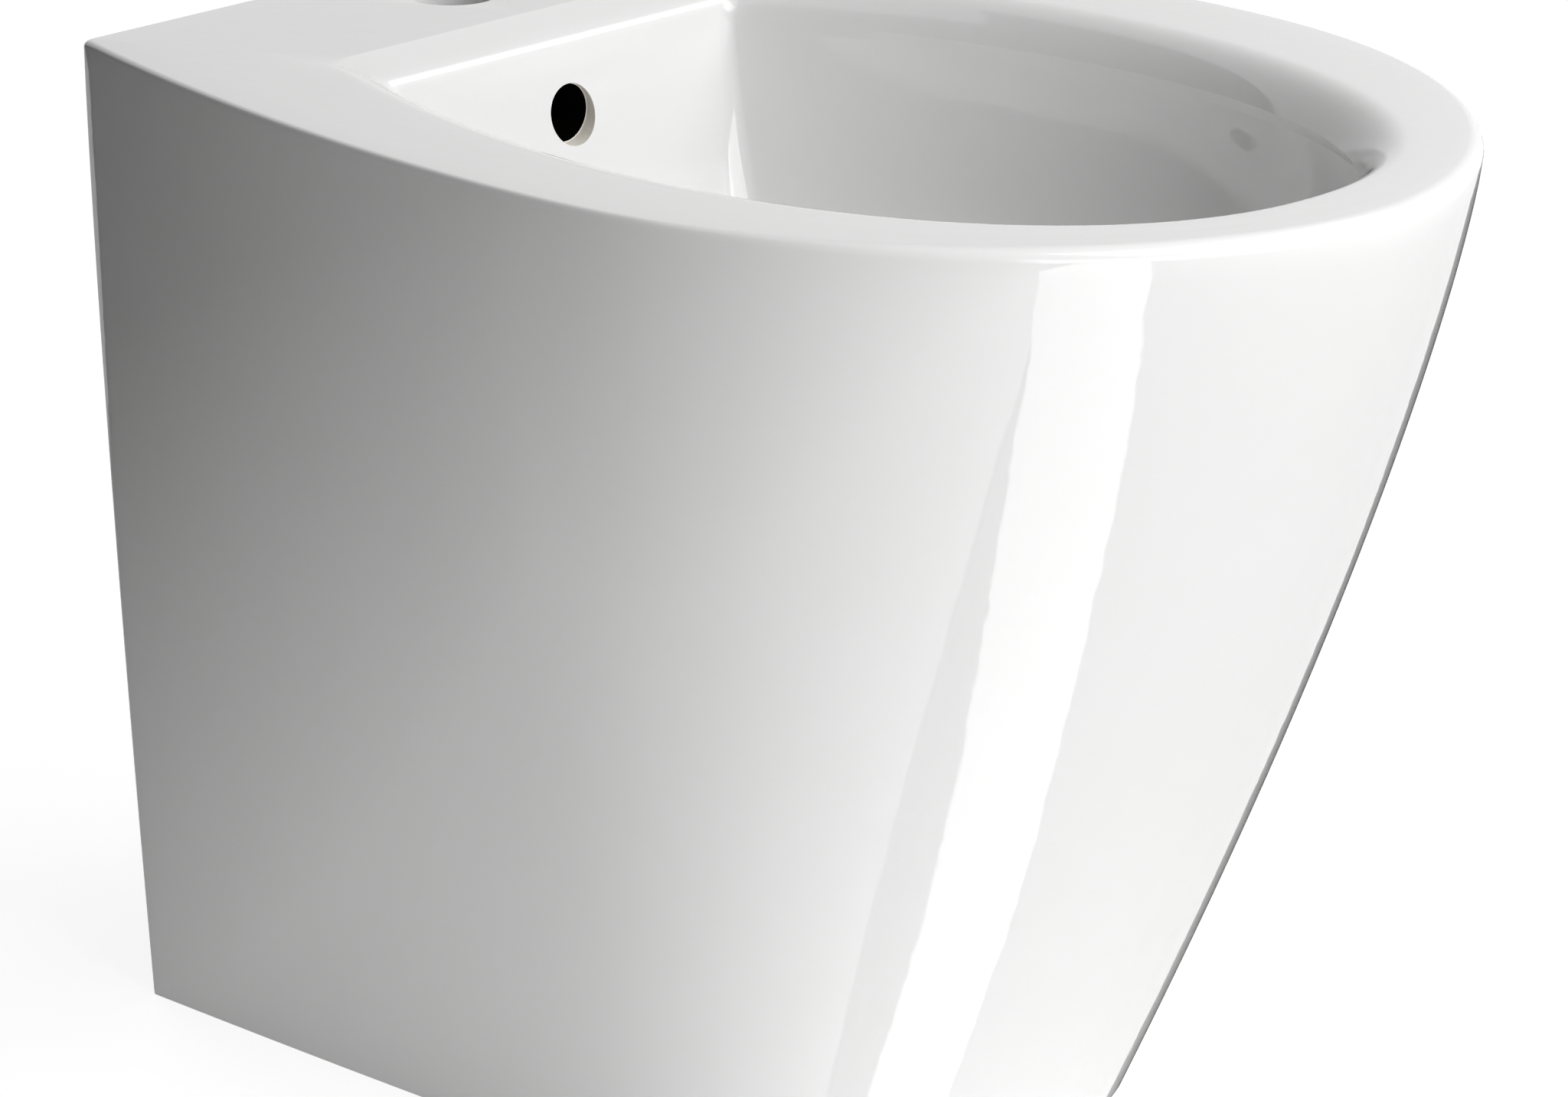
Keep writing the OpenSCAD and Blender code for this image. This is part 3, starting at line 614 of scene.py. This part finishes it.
def service_cutter(wall, finish):
    """The opening in the back for the pipes, with rounded top corners."""
    half = SERVICE_WIDTH / 2
    straight = SERVICE_HEIGHT - SERVICE_CORNER
    below_floor = -5
    points = [(half, below_floor), (half, straight)]
    for k in range(1, SERVICE_CORNER_STEPS):
        turn = QUARTER * k / SERVICE_CORNER_STEPS
        points.append((
            half - SERVICE_CORNER * (1 - math.cos(turn)),
            straight + SERVICE_CORNER * math.sin(turn),
        ))
    points.append((half - SERVICE_CORNER, SERVICE_HEIGHT))
    outline = points + [(-x, z) for x, z in reversed(points)]
    mesh = bmesh.new()
    near, far = (
        [mesh.verts.new((x * MM, y * MM, z * MM)) for x, z in outline]
        for y in (wall - SERVICE_CUT, wall + OVERCUT)
    )
    mesh.faces.new(near)
    mesh.faces.new(reversed(far))
    for k in range(len(outline)):
        n = (k + 1) % len(outline)
        mesh.faces.new((near[n], near[k], far[k], far[n]))
    bmesh.ops.recalc_face_normals(mesh, faces=mesh.faces)
    data = bpy.data.meshes.new("service")
    mesh.to_mesh(data)
    mesh.free()
    data.materials.append(finish)
    return new_object("service", data)


def china_body(glaze, bare, dark):
    """The casting, with its boss, water way and holes. The water way's inside is painted near-black
    as shade.
    """
    low, high = (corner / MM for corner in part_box("bidet_body"))
    sizes = {**CHINA_SIZES, "Length": high.y - low.y, "Height": high.z, "Wall": high.y}
    casting = grow("china", casting_tree(sizes, glaze, bare), sizes)
    smoothed(casting)

    wall, height, deck = high.y, high.z, sizes["Deck thickness"]
    bowl_wall = sizes["Bowl wall"]
    seat_z = sizes["Bowl floor"] - SEAT_RECESS
    boss_bottom = seat_z - BOSS_HEIGHT
    duct_outer = DUCT_RADIUS + DUCT_WALL
    duct_z = boss_bottom + duct_outer + FIT_GAP
    overflow_z = height - OVERFLOW_BELOW_RIM
    waste_y = wall - sizes["Waste"]
    bowl_back_y = wall - sizes["Bowl back"] - sizes["Back chamfer"]
    duct_y = bowl_back_y + bowl_wall + DUCT_RADIUS
    overflow_y = bowl_back_y - bowl_wall
    overflow_length = duct_y - overflow_y
    at_waste = at_point(0, waste_y, 0)
    at_duct = at_point(0, duct_y, 0)
    along_y = Euler((-QUARTER, 0, 0)).to_matrix().to_4x4()
    along_duct = at_point(0, waste_y, duct_z) @ along_y
    along_overflow = at_point(0, overflow_y, overflow_z) @ along_y

    def pipe(name, radius, low_end, high_end, place, finish=glaze):
        return turned(name, [(radius, low_end), (radius, high_end)], finish, place)

    combined(casting, "UNION", [
        pipe("boss", BOSS_RADIUS, boss_bottom, seat_z, at_waste),
        pipe("duct_up", duct_outer, duct_z - DUCT_RADIUS - DUCT_FOOT, height - deck / 2, at_duct),
        pipe("duct_on", duct_outer, 0, duct_y - waste_y, along_duct),
        pipe("overflow_sleeve", OVERFLOW_RADIUS + DUCT_WALL, OVERFLOW_SLEEVE, overflow_length,
             along_overflow),
    ])
    flare = [
        (TAP_HOLE_RADIUS + TAP_FLARE * (1 - math.cos(turn)),
         height - TAP_FLARE * (1 - math.sin(turn)))
        for turn in (QUARTER * k / TAP_FLARE_STEPS for k in range(TAP_FLARE_STEPS + 1))
    ]
    tap_profile = [
        (TAP_HOLE_RADIUS, height - 2 * deck),
        *flare,
        (TAP_HOLE_RADIUS + TAP_FLARE, height + TAP_OVERCUT),
    ]
    combined(casting, "DIFFERENCE", [
        # Cutters for the water way and the back of the overflow leave a near-black painted shade
        # inside, for depth that light doesn't reach.
        pipe("duct_up", DUCT_RADIUS, duct_z - DUCT_OVERLAP, overflow_z + DUCT_RADIUS, at_duct,
             dark),
        pipe("duct_on", DUCT_RADIUS, 0, duct_y - waste_y, along_duct, dark),
        pipe("overflow", OVERFLOW_RADIUS, 0, OVERFLOW_FACE, along_overflow, bare),
        pipe("overflow_depth", OVERFLOW_RADIUS - OVERFLOW_STEP, OVERFLOW_FACE - OVERFLOW_OVERLAP,
             overflow_length, along_overflow, dark),
        pipe("seat", BOWL_FLOOR_RADIUS - SEAT_STEP, seat_z, seat_z + 2 * SEAT_RECESS, at_waste),
        pipe("waste_hole", WASTE_HOLE_RADIUS, boss_bottom - OVERCUT, seat_z + OVERCUT, at_waste),
        pipe("chamber", CHAMBER_RADIUS, duct_z - CHAMBER_HEIGHT / 2, duct_z + CHAMBER_HEIGHT / 2,
             at_waste),
        turned("tap_hole", tap_profile, glaze, at_point(0, wall - TAP_FROM_WALL, 0)),
        service_cutter(wall, bare),
        *fixing_cutters(glaze),
    ])
    smoothed(casting)
    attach(casting, "bidet")
    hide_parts("bidet_body")


def fixing_cutters(finish):
    """The holes for the side screws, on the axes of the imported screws."""
    cutters = []
    low, high = (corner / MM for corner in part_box("fixing_caps"))
    cap_radius = (high.z - low.z) / 2
    turn = math.radians(FIXING_TURN)
    for side in (-1, 1):
        inward = Vector((-side * math.cos(turn), math.sin(turn), 0))
        skin = Vector((side * FIXING_X, FIXING_Y, (low.z + high.z) / 2))
        aim = inward.to_track_quat("Z", "Y").to_matrix().to_4x4()
        place = Matrix.Translation(skin * MM) @ aim
        spot_radius = cap_radius + SPOT_CLEARANCE
        hole = [(HOLE_RADIUS, 0), (HOLE_RADIUS, HOLE_DEPTH)]
        spot = [(spot_radius, -SPOT_OUTSIDE), (spot_radius, SPOT_DEPTH)]
        cutters.append(turned("hole", hole, finish, place))
        cutters.append(turned("spot", spot, finish, place))
    return cutters


# ---- Effects that several finishes share ----

# How many times longer than wide the lines of drawn and turned metal are
LINE_STRETCH = 60
# How crisp the rings of dried water are, and how many drops wide their patches
RING_CRISPNESS = 14
DROPS_TO_A_PATCH = 6


def effect(name, inputs, outputs, build):
    """A shader node group. build gets its inputs as fields and returns a field for each output."""
    tree = bpy.data.node_groups.new(name, "ShaderNodeTree")
    fields = named_inputs(tree, inputs)
    for label in outputs:
        tree.interface.new_socket(label, in_out="OUTPUT", socket_type="NodeSocketFloat")
    end = tree.nodes.new("NodeGroupOutput")
    for label, value in zip(outputs, build(tree, fields)):
        feed(tree, value, end.inputs[label])
    return tree


def place_on_piece(tree):
    return tree.nodes.new("ShaderNodeTexCoord").outputs["Object"]


def noise(tree, scale, detail=2.0, place=None):
    """Smooth noise from about 0 to 1, with so many bumps to a metre."""
    node = tree.nodes.new("ShaderNodeTexNoise")
    tree.links.new(place or place_on_piece(tree), node.inputs["Vector"])
    feed(tree, scale, node.inputs["Scale"])
    feed(tree, detail, node.inputs["Detail"])
    return Field(tree, node.outputs["Fac"])


def stretched_place(tree, across, along):
    """Object coordinates squeezed so that a pattern runs long along Z."""
    parts = tree.nodes.new("ShaderNodeSeparateXYZ")
    tree.links.new(place_on_piece(tree), parts.inputs[0])
    joined = tree.nodes.new("ShaderNodeCombineXYZ")
    scales = (across, across, along)
    for label, scale, socket in zip("XYZ", scales, joined.inputs):
        feed(tree, Field(tree, parts.outputs[label]) * scale, socket)
    return joined.outputs[0]


def cells(tree, scale):
    """How far each spot is from the middle of its cell, with so many cells to a metre."""
    node = tree.nodes.new("ShaderNodeTexVoronoi")
    tree.links.new(place_on_piece(tree), node.inputs["Vector"])
    feed(tree, scale, node.inputs["Scale"])
    return Field(tree, node.outputs["Distance"])


def contrasted(x, gain, drop):
    """x with more contrast, kept between 0 and 1."""
    return clamped(x * gain - drop)


def effects():
    """The shared effects: each is a height or a mask that changes over the surface."""

    def waves(tree, size):
        broad = noise(tree, size["Waves per metre"], 1.0)
        fine = noise(tree, size["Ripples per metre"], 2.0)
        return [blend(broad, fine, size["Ripple share"])]

    def mottle(tree, size):
        spots = contrasted(noise(tree, size["Spots per metre"], 4.0), 2, 0.5)
        return [blend(size["Low"], size["High"], spots)]

    def grain(tree, size):
        return [noise(tree, size["Grains per metre"], 3.0)]

    def pinholes(tree, size):
        return [clamped(1 - cells(tree, size["Holes per metre"]) / size["Size"])]

    def drawn_lines(tree, size):
        lines = size["Lines per metre"]
        return [noise(tree, 1.0, 3.0, stretched_place(tree, lines, lines / LINE_STRETCH))]

    def turned_lines(tree, size):
        lines = size["Lines per metre"]
        return [noise(tree, 1.0, 3.0, stretched_place(tree, lines / LINE_STRETCH, lines))]

    def dried_water(tree, size):
        from_ring = cells(tree, size["Drops per metre"]) - size["Drop size"]
        ring = clamped(1 - maths(tree, "ABSOLUTE", from_ring) * RING_CRISPNESS)
        patchy = contrasted(noise(tree, size["Drops per metre"] / DROPS_TO_A_PATCH), 4, 1.9)
        return [ring * patchy]

    return {
        "waves": effect(
            "Glaze_waves",
            {"Waves per metre": 9, "Ripples per metre": 60, "Ripple share": 0.2},
            ["Height"], waves,
        ),
        "mottle": effect(
            "Mottle", {"Spots per metre": 20, "Low": 0, "High": 1}, ["Value"], mottle
        ),
        "grain": effect("Moulded_grain", {"Grains per metre": 2500}, ["Height"], grain),
        "pinholes": effect(
            "Pinholes", {"Holes per metre": 120, "Size": 0.04}, ["Mask"], pinholes
        ),
        "drawn": effect("Drawn_lines", {"Lines per metre": 3000}, ["Height"], drawn_lines),
        "turned": effect("Turned_lines", {"Lines per metre": 3000}, ["Height"], turned_lines),
        "water": effect(
            "Dried_water", {"Drops per metre": 90, "Drop size": 0.3}, ["Mask"], dried_water
        ),
    }


# ---- Finishes ----


class Finish:
    """A material with a Principled shader and the shared effects that feed it."""

    def __init__(self, name, shared, **sockets):
        self.material = bpy.data.materials.new(name)
        self.material.use_nodes = True
        self.tree = self.material.node_tree
        self.shader = self.tree.nodes["Principled BSDF"]
        self.shared = shared
        for label, value in sockets.items():
            self.shader.inputs[label.replace("_", " ")].default_value = value

    def effect(self, kind, **inputs):
        node = self.tree.nodes.new("ShaderNodeGroup")
        node.node_tree = self.shared[kind]
        for label, value in inputs.items():
            node.inputs[label.replace("_", " ")].default_value = value
        return Field(self.tree, node.outputs[0])

    def rough(self, low, high, spots):
        """Roughness that drifts between two values, with so many spots to a metre."""
        feed(self.tree, self.effect("mottle", Spots_per_metre=spots, Low=low, High=high),
             self.shader.inputs["Roughness"])

    def coloured(self, first, second, share):
        """A colour between two, by a share that changes over the surface."""
        node = self.tree.nodes.new("ShaderNodeMix")
        node.data_type = "RGBA"
        node.inputs["A"].default_value = (*first, 1)
        node.inputs["B"].default_value = (*second, 1)
        feed(self.tree, share, node.inputs["Factor"])
        self.tree.links.new(node.outputs["Result"], self.shader.inputs["Base Color"])

    def mottled(self, first, second, spots):
        """Two colours in soft spots, with so many to a metre."""
        self.coloured(first, second, self.effect("mottle", Spots_per_metre=spots))

    def bumped(self, height, depth_mm):
        """Surface relief from a height that changes over the surface, so many millimetres deep."""
        bump = self.tree.nodes.new("ShaderNodeBump")
        bump.inputs["Distance"].default_value = depth_mm * MM
        feed(self.tree, height, bump.inputs["Height"])
        self.tree.links.new(bump.outputs["Normal"], self.shader.inputs["Normal"])


def finishes():
    shared = effects()
    made = {}

    glaze = Finish("glazed_china", shared, IOR=1.5, Specular_IOR_Level=0.5)
    glaze.rough(0.02, 0.05, 14)
    specks = glaze.effect("pinholes", Holes_per_metre=60, Size=0.012)
    tint = glaze.effect("mottle", Spots_per_metre=9, Low=0, High=0.5)
    glaze.coloured((0.825, 0.827, 0.825), (0.805, 0.804, 0.794), clamped(tint + specks))
    dips = glaze.effect("pinholes", Holes_per_metre=95, Size=0.02)
    ripples = glaze.effect("waves", Waves_per_metre=11, Ripples_per_metre=85, Ripple_share=0.16)
    glaze.bumped(ripples - dips * 0.03, 0.35)
    made["china"] = glaze

    bare = Finish("bare_china", shared, Specular_IOR_Level=0.3)
    bare.rough(0.62, 0.82, 60)
    bare.mottled((0.83, 0.80, 0.74), (0.74, 0.70, 0.63), 90)
    bare.bumped(bare.effect("grain", Grains_per_metre=1800), 0.12)
    made["bare china"] = bare

    # Near-black painted shade for the water way's inside: it stands in for the depth that light
    # doesn't reach, not for a colour of the china.
    dark = Finish("painted_shade_water_way", shared, Specular_IOR_Level=0.0)
    dark.rough(0.5, 0.8, 90)
    dark.mottled((0.0015, 0.0014, 0.0012), (0.004, 0.0035, 0.003), 120)
    dark.bumped(dark.effect("grain", Grains_per_metre=1500), 0.1)
    made["water way"] = dark

    chrome = Finish("chrome_plate", shared, Metallic=1.0)
    chrome.rough(0.05, 0.16, 45)
    marks = chrome.effect("water", Drops_per_metre=150, Drop_size=0.25)
    chrome.coloured((0.80, 0.81, 0.82), (0.66, 0.67, 0.68), marks)
    ripples = chrome.effect("waves", Waves_per_metre=40, Ripples_per_metre=400, Ripple_share=0.25)
    chrome.bumped(ripples, 0.06)
    made["chrome"] = chrome

    rubber = Finish("black_rubber", shared, Specular_IOR_Level=0.35)
    rubber.rough(0.55, 0.78, 120)
    rubber.mottled((0.022, 0.022, 0.023), (0.05, 0.049, 0.047), 160)
    rubber.bumped(rubber.effect("grain", Grains_per_metre=3500), 0.08)
    made["rubber"] = rubber

    plastic = Finish("white_moulded_plastic", shared, IOR=1.49)
    plastic.rough(0.32, 0.46, 90)
    plastic.mottled((0.80, 0.80, 0.785), (0.74, 0.735, 0.71), 70)
    plastic.bumped(plastic.effect("grain", Grains_per_metre=2600), 0.05)
    made["plastic"] = plastic

    brass = Finish("turned_brass", shared, Metallic=1.0)
    brass.rough(0.2, 0.36, 80)
    brass.mottled((0.76, 0.60, 0.30), (0.58, 0.43, 0.20), 130)
    brass.bumped(brass.effect("turned", Lines_per_metre=5200), 0.05)
    made["brass"] = brass

    zinc = Finish("zinc_plated_steel", shared, Metallic=1.0)
    zinc.rough(0.26, 0.44, 150)
    zinc.mottled((0.66, 0.68, 0.71), (0.50, 0.52, 0.56), 210)
    zinc.bumped(zinc.effect("grain", Grains_per_metre=1500), 0.05)
    made["zinc"] = zinc

    spring = Finish("spring_steel", shared, Metallic=1.0)
    spring.rough(0.18, 0.3, 200)
    spring.coloured(
        (0.58, 0.57, 0.55), (0.40, 0.39, 0.38),
        spring.effect("drawn", Lines_per_metre=9000),
    )
    spring.bumped(spring.effect("drawn", Lines_per_metre=9000), 0.02)
    made["spring"] = spring
    return {name: finish.material for name, finish in made.items()}


NODE_FINISHES = {
    "chrome": ("waste_body", "plug_cap", "trap_inlet_nut", "dip_tube", "trap_head_nut", "trap_head",
               "trap_cup", "outlet_nut", "outlet_pipe", "fixing_caps"),
    "rubber": ("flange_gasket", "taper_washer", "plug_seal", "trap_inlet_washer",
               "trap_head_washer", "cup_seal", "outlet_washer"),
    "plastic": ("slip_washer", "fixing_sleeves"),
    "brass": ("back_nut", "click_cartridge"),
    "zinc": ("floor_bracket_left", "floor_bracket_right", "fixing_screws"),
    "spring": ("click_spring", "plug_stem"),
}


def finish_nodes(nodes, made):
    """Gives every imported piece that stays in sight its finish."""
    for finish, names in NODE_FINISHES.items():
        for name in names:
            for slot in nodes[name].material_slots:
                slot.material = made[finish]


# ---- The studio ----

CAMERA_PLACE = (-1.99885, -1.8243, 1.09174)
CAMERA_AZIMUTH = -47.126
CAMERA_ELEVATION = 18.357
LENS = 170.06
SENSOR_WIDTH = 36
# The row of the lens's own axis and the picture's height and width, in the photograph's pixels
LENS_SHIFT = (790 - 1433 / 2) / 2048
NEAREST = 0.05


def add_camera():
    data = bpy.data.cameras.new("camera")
    data.lens = LENS
    data.sensor_width = SENSOR_WIDTH
    data.shift_y = LENS_SHIFT
    data.clip_start = NEAREST
    camera = new_object("camera", data)
    camera.location = CAMERA_PLACE
    camera.rotation_euler = (
        math.radians(90 - CAMERA_ELEVATION), 0, math.radians(CAMERA_AZIMUTH)
    )
    bpy.context.scene.camera = camera


LAMP_AIM = (0, 0, 0.25)
# Name, azimuth and elevation in degrees, distance, width and height in metres, and radiance.
# Azimuth 0 is in front of the nose, and 90 is on the object's right.
LAMPS = (
    ("front", -18, 5, 1.9, 2.6, 0.8, 1.65),
    ("front_left", -40, 5, 1.9, 2.0, 0.8, 1.9),
    ("front_high", 0, 45, 2.8, 2.0, 1.8, 3.95),
    ("front_right", 40, 46, 2.8, 2.06, 1.77, 2.0),
    ("right", 70, 43, 2.8, 1.47, 1.18, 3.3),
    ("back", 160, 14, 1.9, 0.9, 0.9, 3.6),
)
# The lamp that the rim would mirror towards the camera
UNMIRRORED_LAMP = "back"


def soft_box(name, azimuth, elevation, distance, width, height, radiance):
    """A rectangular lamp that looks at the object from a direction."""
    turn, rise = math.radians(azimuth), math.radians(elevation)
    way = Vector((
        math.sin(turn) * math.cos(rise), -math.cos(turn) * math.cos(rise), math.sin(rise)
    ))
    data = bpy.data.lights.new(name, "AREA")
    data.shape = "RECTANGLE"
    data.size = width
    data.size_y = height
    data.energy = radiance * math.pi * width * height
    lamp = new_object(name, data)
    lamp.location = Vector(LAMP_AIM) + way * distance
    lamp.rotation_euler = way.to_track_quat("Z", "Y").to_euler()
    lamp.visible_camera = False
    lamp.visible_glossy = name != UNMIRRORED_LAMP


# A tall lit card in front, as corners (x, z) in metres on an upright plane. It is there for its
# long reflection on the skirt, and it goes on below the floor, which reflections pass through.
CARD_PLANE_Y = -1.0
CARD_RADIANCE = 4.5
CARD_LEFT = (
    (-0.803, -0.008), (-0.777, -0.322), (-0.734, -0.431), (-0.716, -0.525), (-0.674, -0.631),
    (-0.619, -0.762), (-0.544, -0.881), (-0.472, -1.018), (-0.427, -1.161), (-0.378, -1.312),
    (-0.333, -1.476), (-0.320, -1.685), (-0.315, -1.990), (-0.315, -2.100),
)
CARD_RIGHT = (
    (0.400, -2.100), (0.348, -1.794), (0.288, -1.556), (0.240, -1.379), (0.169, -1.217),
    (0.095, -1.058), (0.019, -0.916), (-0.061, -0.784), (-0.145, -0.655), (-0.227, -0.525),
    (-0.259, -0.423), (-0.290, -0.337), (-0.311, -0.233), (-0.355, 0.094), (-0.380, 0.281),
)
# A black flag that stands round the object's left and back left, and darkens their reflections
FLAG_PATH = ((-1.3, -1.7), (-1.3, 1.1), (-0.2, 1.1))
FLAG_BOTTOM = -6
FLAG_TOP = 2.4
FLAG_FRONT_Y = -1.5
FLAG_LOW_GLOW = 1.4
FLAG_LOW_FADE = -0.6
# A black flag behind the nose, as corners (y, z) on an upright plane, for the nose's dark outline
BACK_FLAG_X = 1.3
BACK_FLAG_CORNERS = (
    (0.285, 0.050), (0.290, -0.157), (0.330, -0.272), (0.375, -0.387), (0.410, -0.482),
    (0.440, -0.612), (0.475, -0.785), (0.500, -1.100), (1.700, -1.100), (1.700, 0.050),
)


def card(name, faces, radiance_of):
    """Flat cards that only reflections show. radiance_of gets the material's tree."""
    mesh = bmesh.new()
    for corners in faces:
        mesh.faces.new([mesh.verts.new(corner) for corner in corners])
    bmesh.ops.triangulate(mesh, faces=mesh.faces)
    data = bpy.data.meshes.new(name)
    mesh.to_mesh(data)
    mesh.free()
    piece = new_object(name, data)
    finish = bpy.data.materials.new(name)
    finish.use_nodes = True
    # Reflections find the card by themselves, so it is no lamp
    finish.cycles.emission_sampling = "NONE"
    shader = finish.node_tree.nodes["Principled BSDF"]
    shader.inputs["Base Color"].default_value = (0, 0, 0, 1)
    shader.inputs["Specular IOR Level"].default_value = 0
    shader.inputs["Emission Color"].default_value = (1, 1, 1, 1)
    feed(finish.node_tree, radiance_of(finish.node_tree), shader.inputs["Emission Strength"])
    data.materials.append(finish)
    piece.visible_camera = False
    piece.visible_diffuse = False
    piece.visible_shadow = False


def flag_faces():
    return [
        [(*start, FLAG_BOTTOM), (*end, FLAG_BOTTOM), (*end, FLAG_TOP), (*start, FLAG_TOP)]
        for start, end in zip(FLAG_PATH, FLAG_PATH[1:])
    ]


def flag_shade(tree):
    """White at the flag's front edge, black beside the object, and white again far below it."""
    place = tree.nodes.new("ShaderNodeSeparateXYZ")
    tree.links.new(place_on_piece(tree), place.inputs[0])
    front = clamped(Field(tree, place.outputs["Y"]) / FLAG_FRONT_Y)
    below = clamped(Field(tree, place.outputs["Z"]) / FLAG_LOW_FADE)
    return front + below * FLAG_LOW_GLOW


def is_seen(tree):
    """1 for what the camera sees directly, in a reflection or through glass, and 0 otherwise."""
    path = tree.nodes.new("ShaderNodeLightPath")
    camera, glossy, through = (
        Field(tree, path.outputs[f"Is {kind} Ray"]) for kind in ("Camera", "Glossy", "Transmission")
    )
    return clamped(camera + glossy + through)


def add_world():
    """A world that shows white and gives no light."""
    world = bpy.data.worlds.new("studio")
    bpy.context.scene.world = world
    world.use_nodes = True
    tree = world.node_tree
    background = tree.nodes["Background"]
    background.inputs["Color"].default_value = (1, 1, 1, 1)
    feed(tree, is_seen(tree), background.inputs["Strength"])


FLOOR_RADIUS = 6
FLOOR_SIDES = 96
# The floor's colour and glow near the object, its darker colour away from it, and the ring in
# which it changes. What the camera sees takes less of the lamps' light, for a white background.
FLOOR_SHADE = 0.85
FLOOR_GLOW = 0.84
FLOOR_FAR_SHADE = 0.06
FLOOR_NEAR = 0.35
FLOOR_FADE = 1.2
FLOOR_SEEN_SHARE = 0.45


def add_floor():
    """A pale floor whose colour shows as white, with the object's shadow kept."""
    mesh = bmesh.new()
    bmesh.ops.create_circle(mesh, cap_ends=True, segments=FLOOR_SIDES, radius=FLOOR_RADIUS)
    data = bpy.data.meshes.new("floor")
    mesh.to_mesh(data)
    mesh.free()
    floor = new_object("floor", data)
    finish = bpy.data.materials.new("pale_floor")
    finish.use_nodes = True
    tree = finish.node_tree
    shader = tree.nodes["Principled BSDF"]
    shader.inputs["Roughness"].default_value = 0.9
    shader.inputs["Specular IOR Level"].default_value = 0.0
    shader.inputs["Emission Color"].default_value = (1, 1, 1, 1)
    seen = is_seen(tree)
    place = tree.nodes.new("ShaderNodeSeparateXYZ")
    tree.links.new(place_on_piece(tree), place.inputs[0])
    x, y = Field(tree, place.outputs["X"]), Field(tree, place.outputs["Y"])
    away = clamped((root(x * x + y * y) - FLOOR_NEAR) / FLOOR_FADE)
    shade = blend(FLOOR_SHADE, FLOOR_FAR_SHADE, away)
    feed(tree, blend(shade, shade * FLOOR_SEEN_SHARE, seen), shader.inputs["Base Color"])
    feed(tree, blend(FLOOR_GLOW, 1.0, away) * seen, shader.inputs["Emission Strength"])
    data.materials.append(finish)
    floor.visible_glossy = False


def main():
    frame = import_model()
    made = finishes()
    finish_nodes(frame["nodes"], made)
    china_body(made["china"], made["bare china"], made["water way"])

    add_camera()
    lit = [(x, CARD_PLANE_Y, z) for x, z in CARD_LEFT + CARD_RIGHT]
    dark = [(BACK_FLAG_X, y, z) for y, z in BACK_FLAG_CORNERS]
    card("lit_card", [lit], lambda tree: CARD_RADIANCE)
    card("black_flag", flag_faces(), flag_shade)
    card("back_flag", [dark], lambda tree: 0.0)
    for lamp in LAMPS:
        soft_box(*lamp)
    add_world()
    add_floor()
    bpy.context.scene.view_settings.view_transform = "Standard"


main()
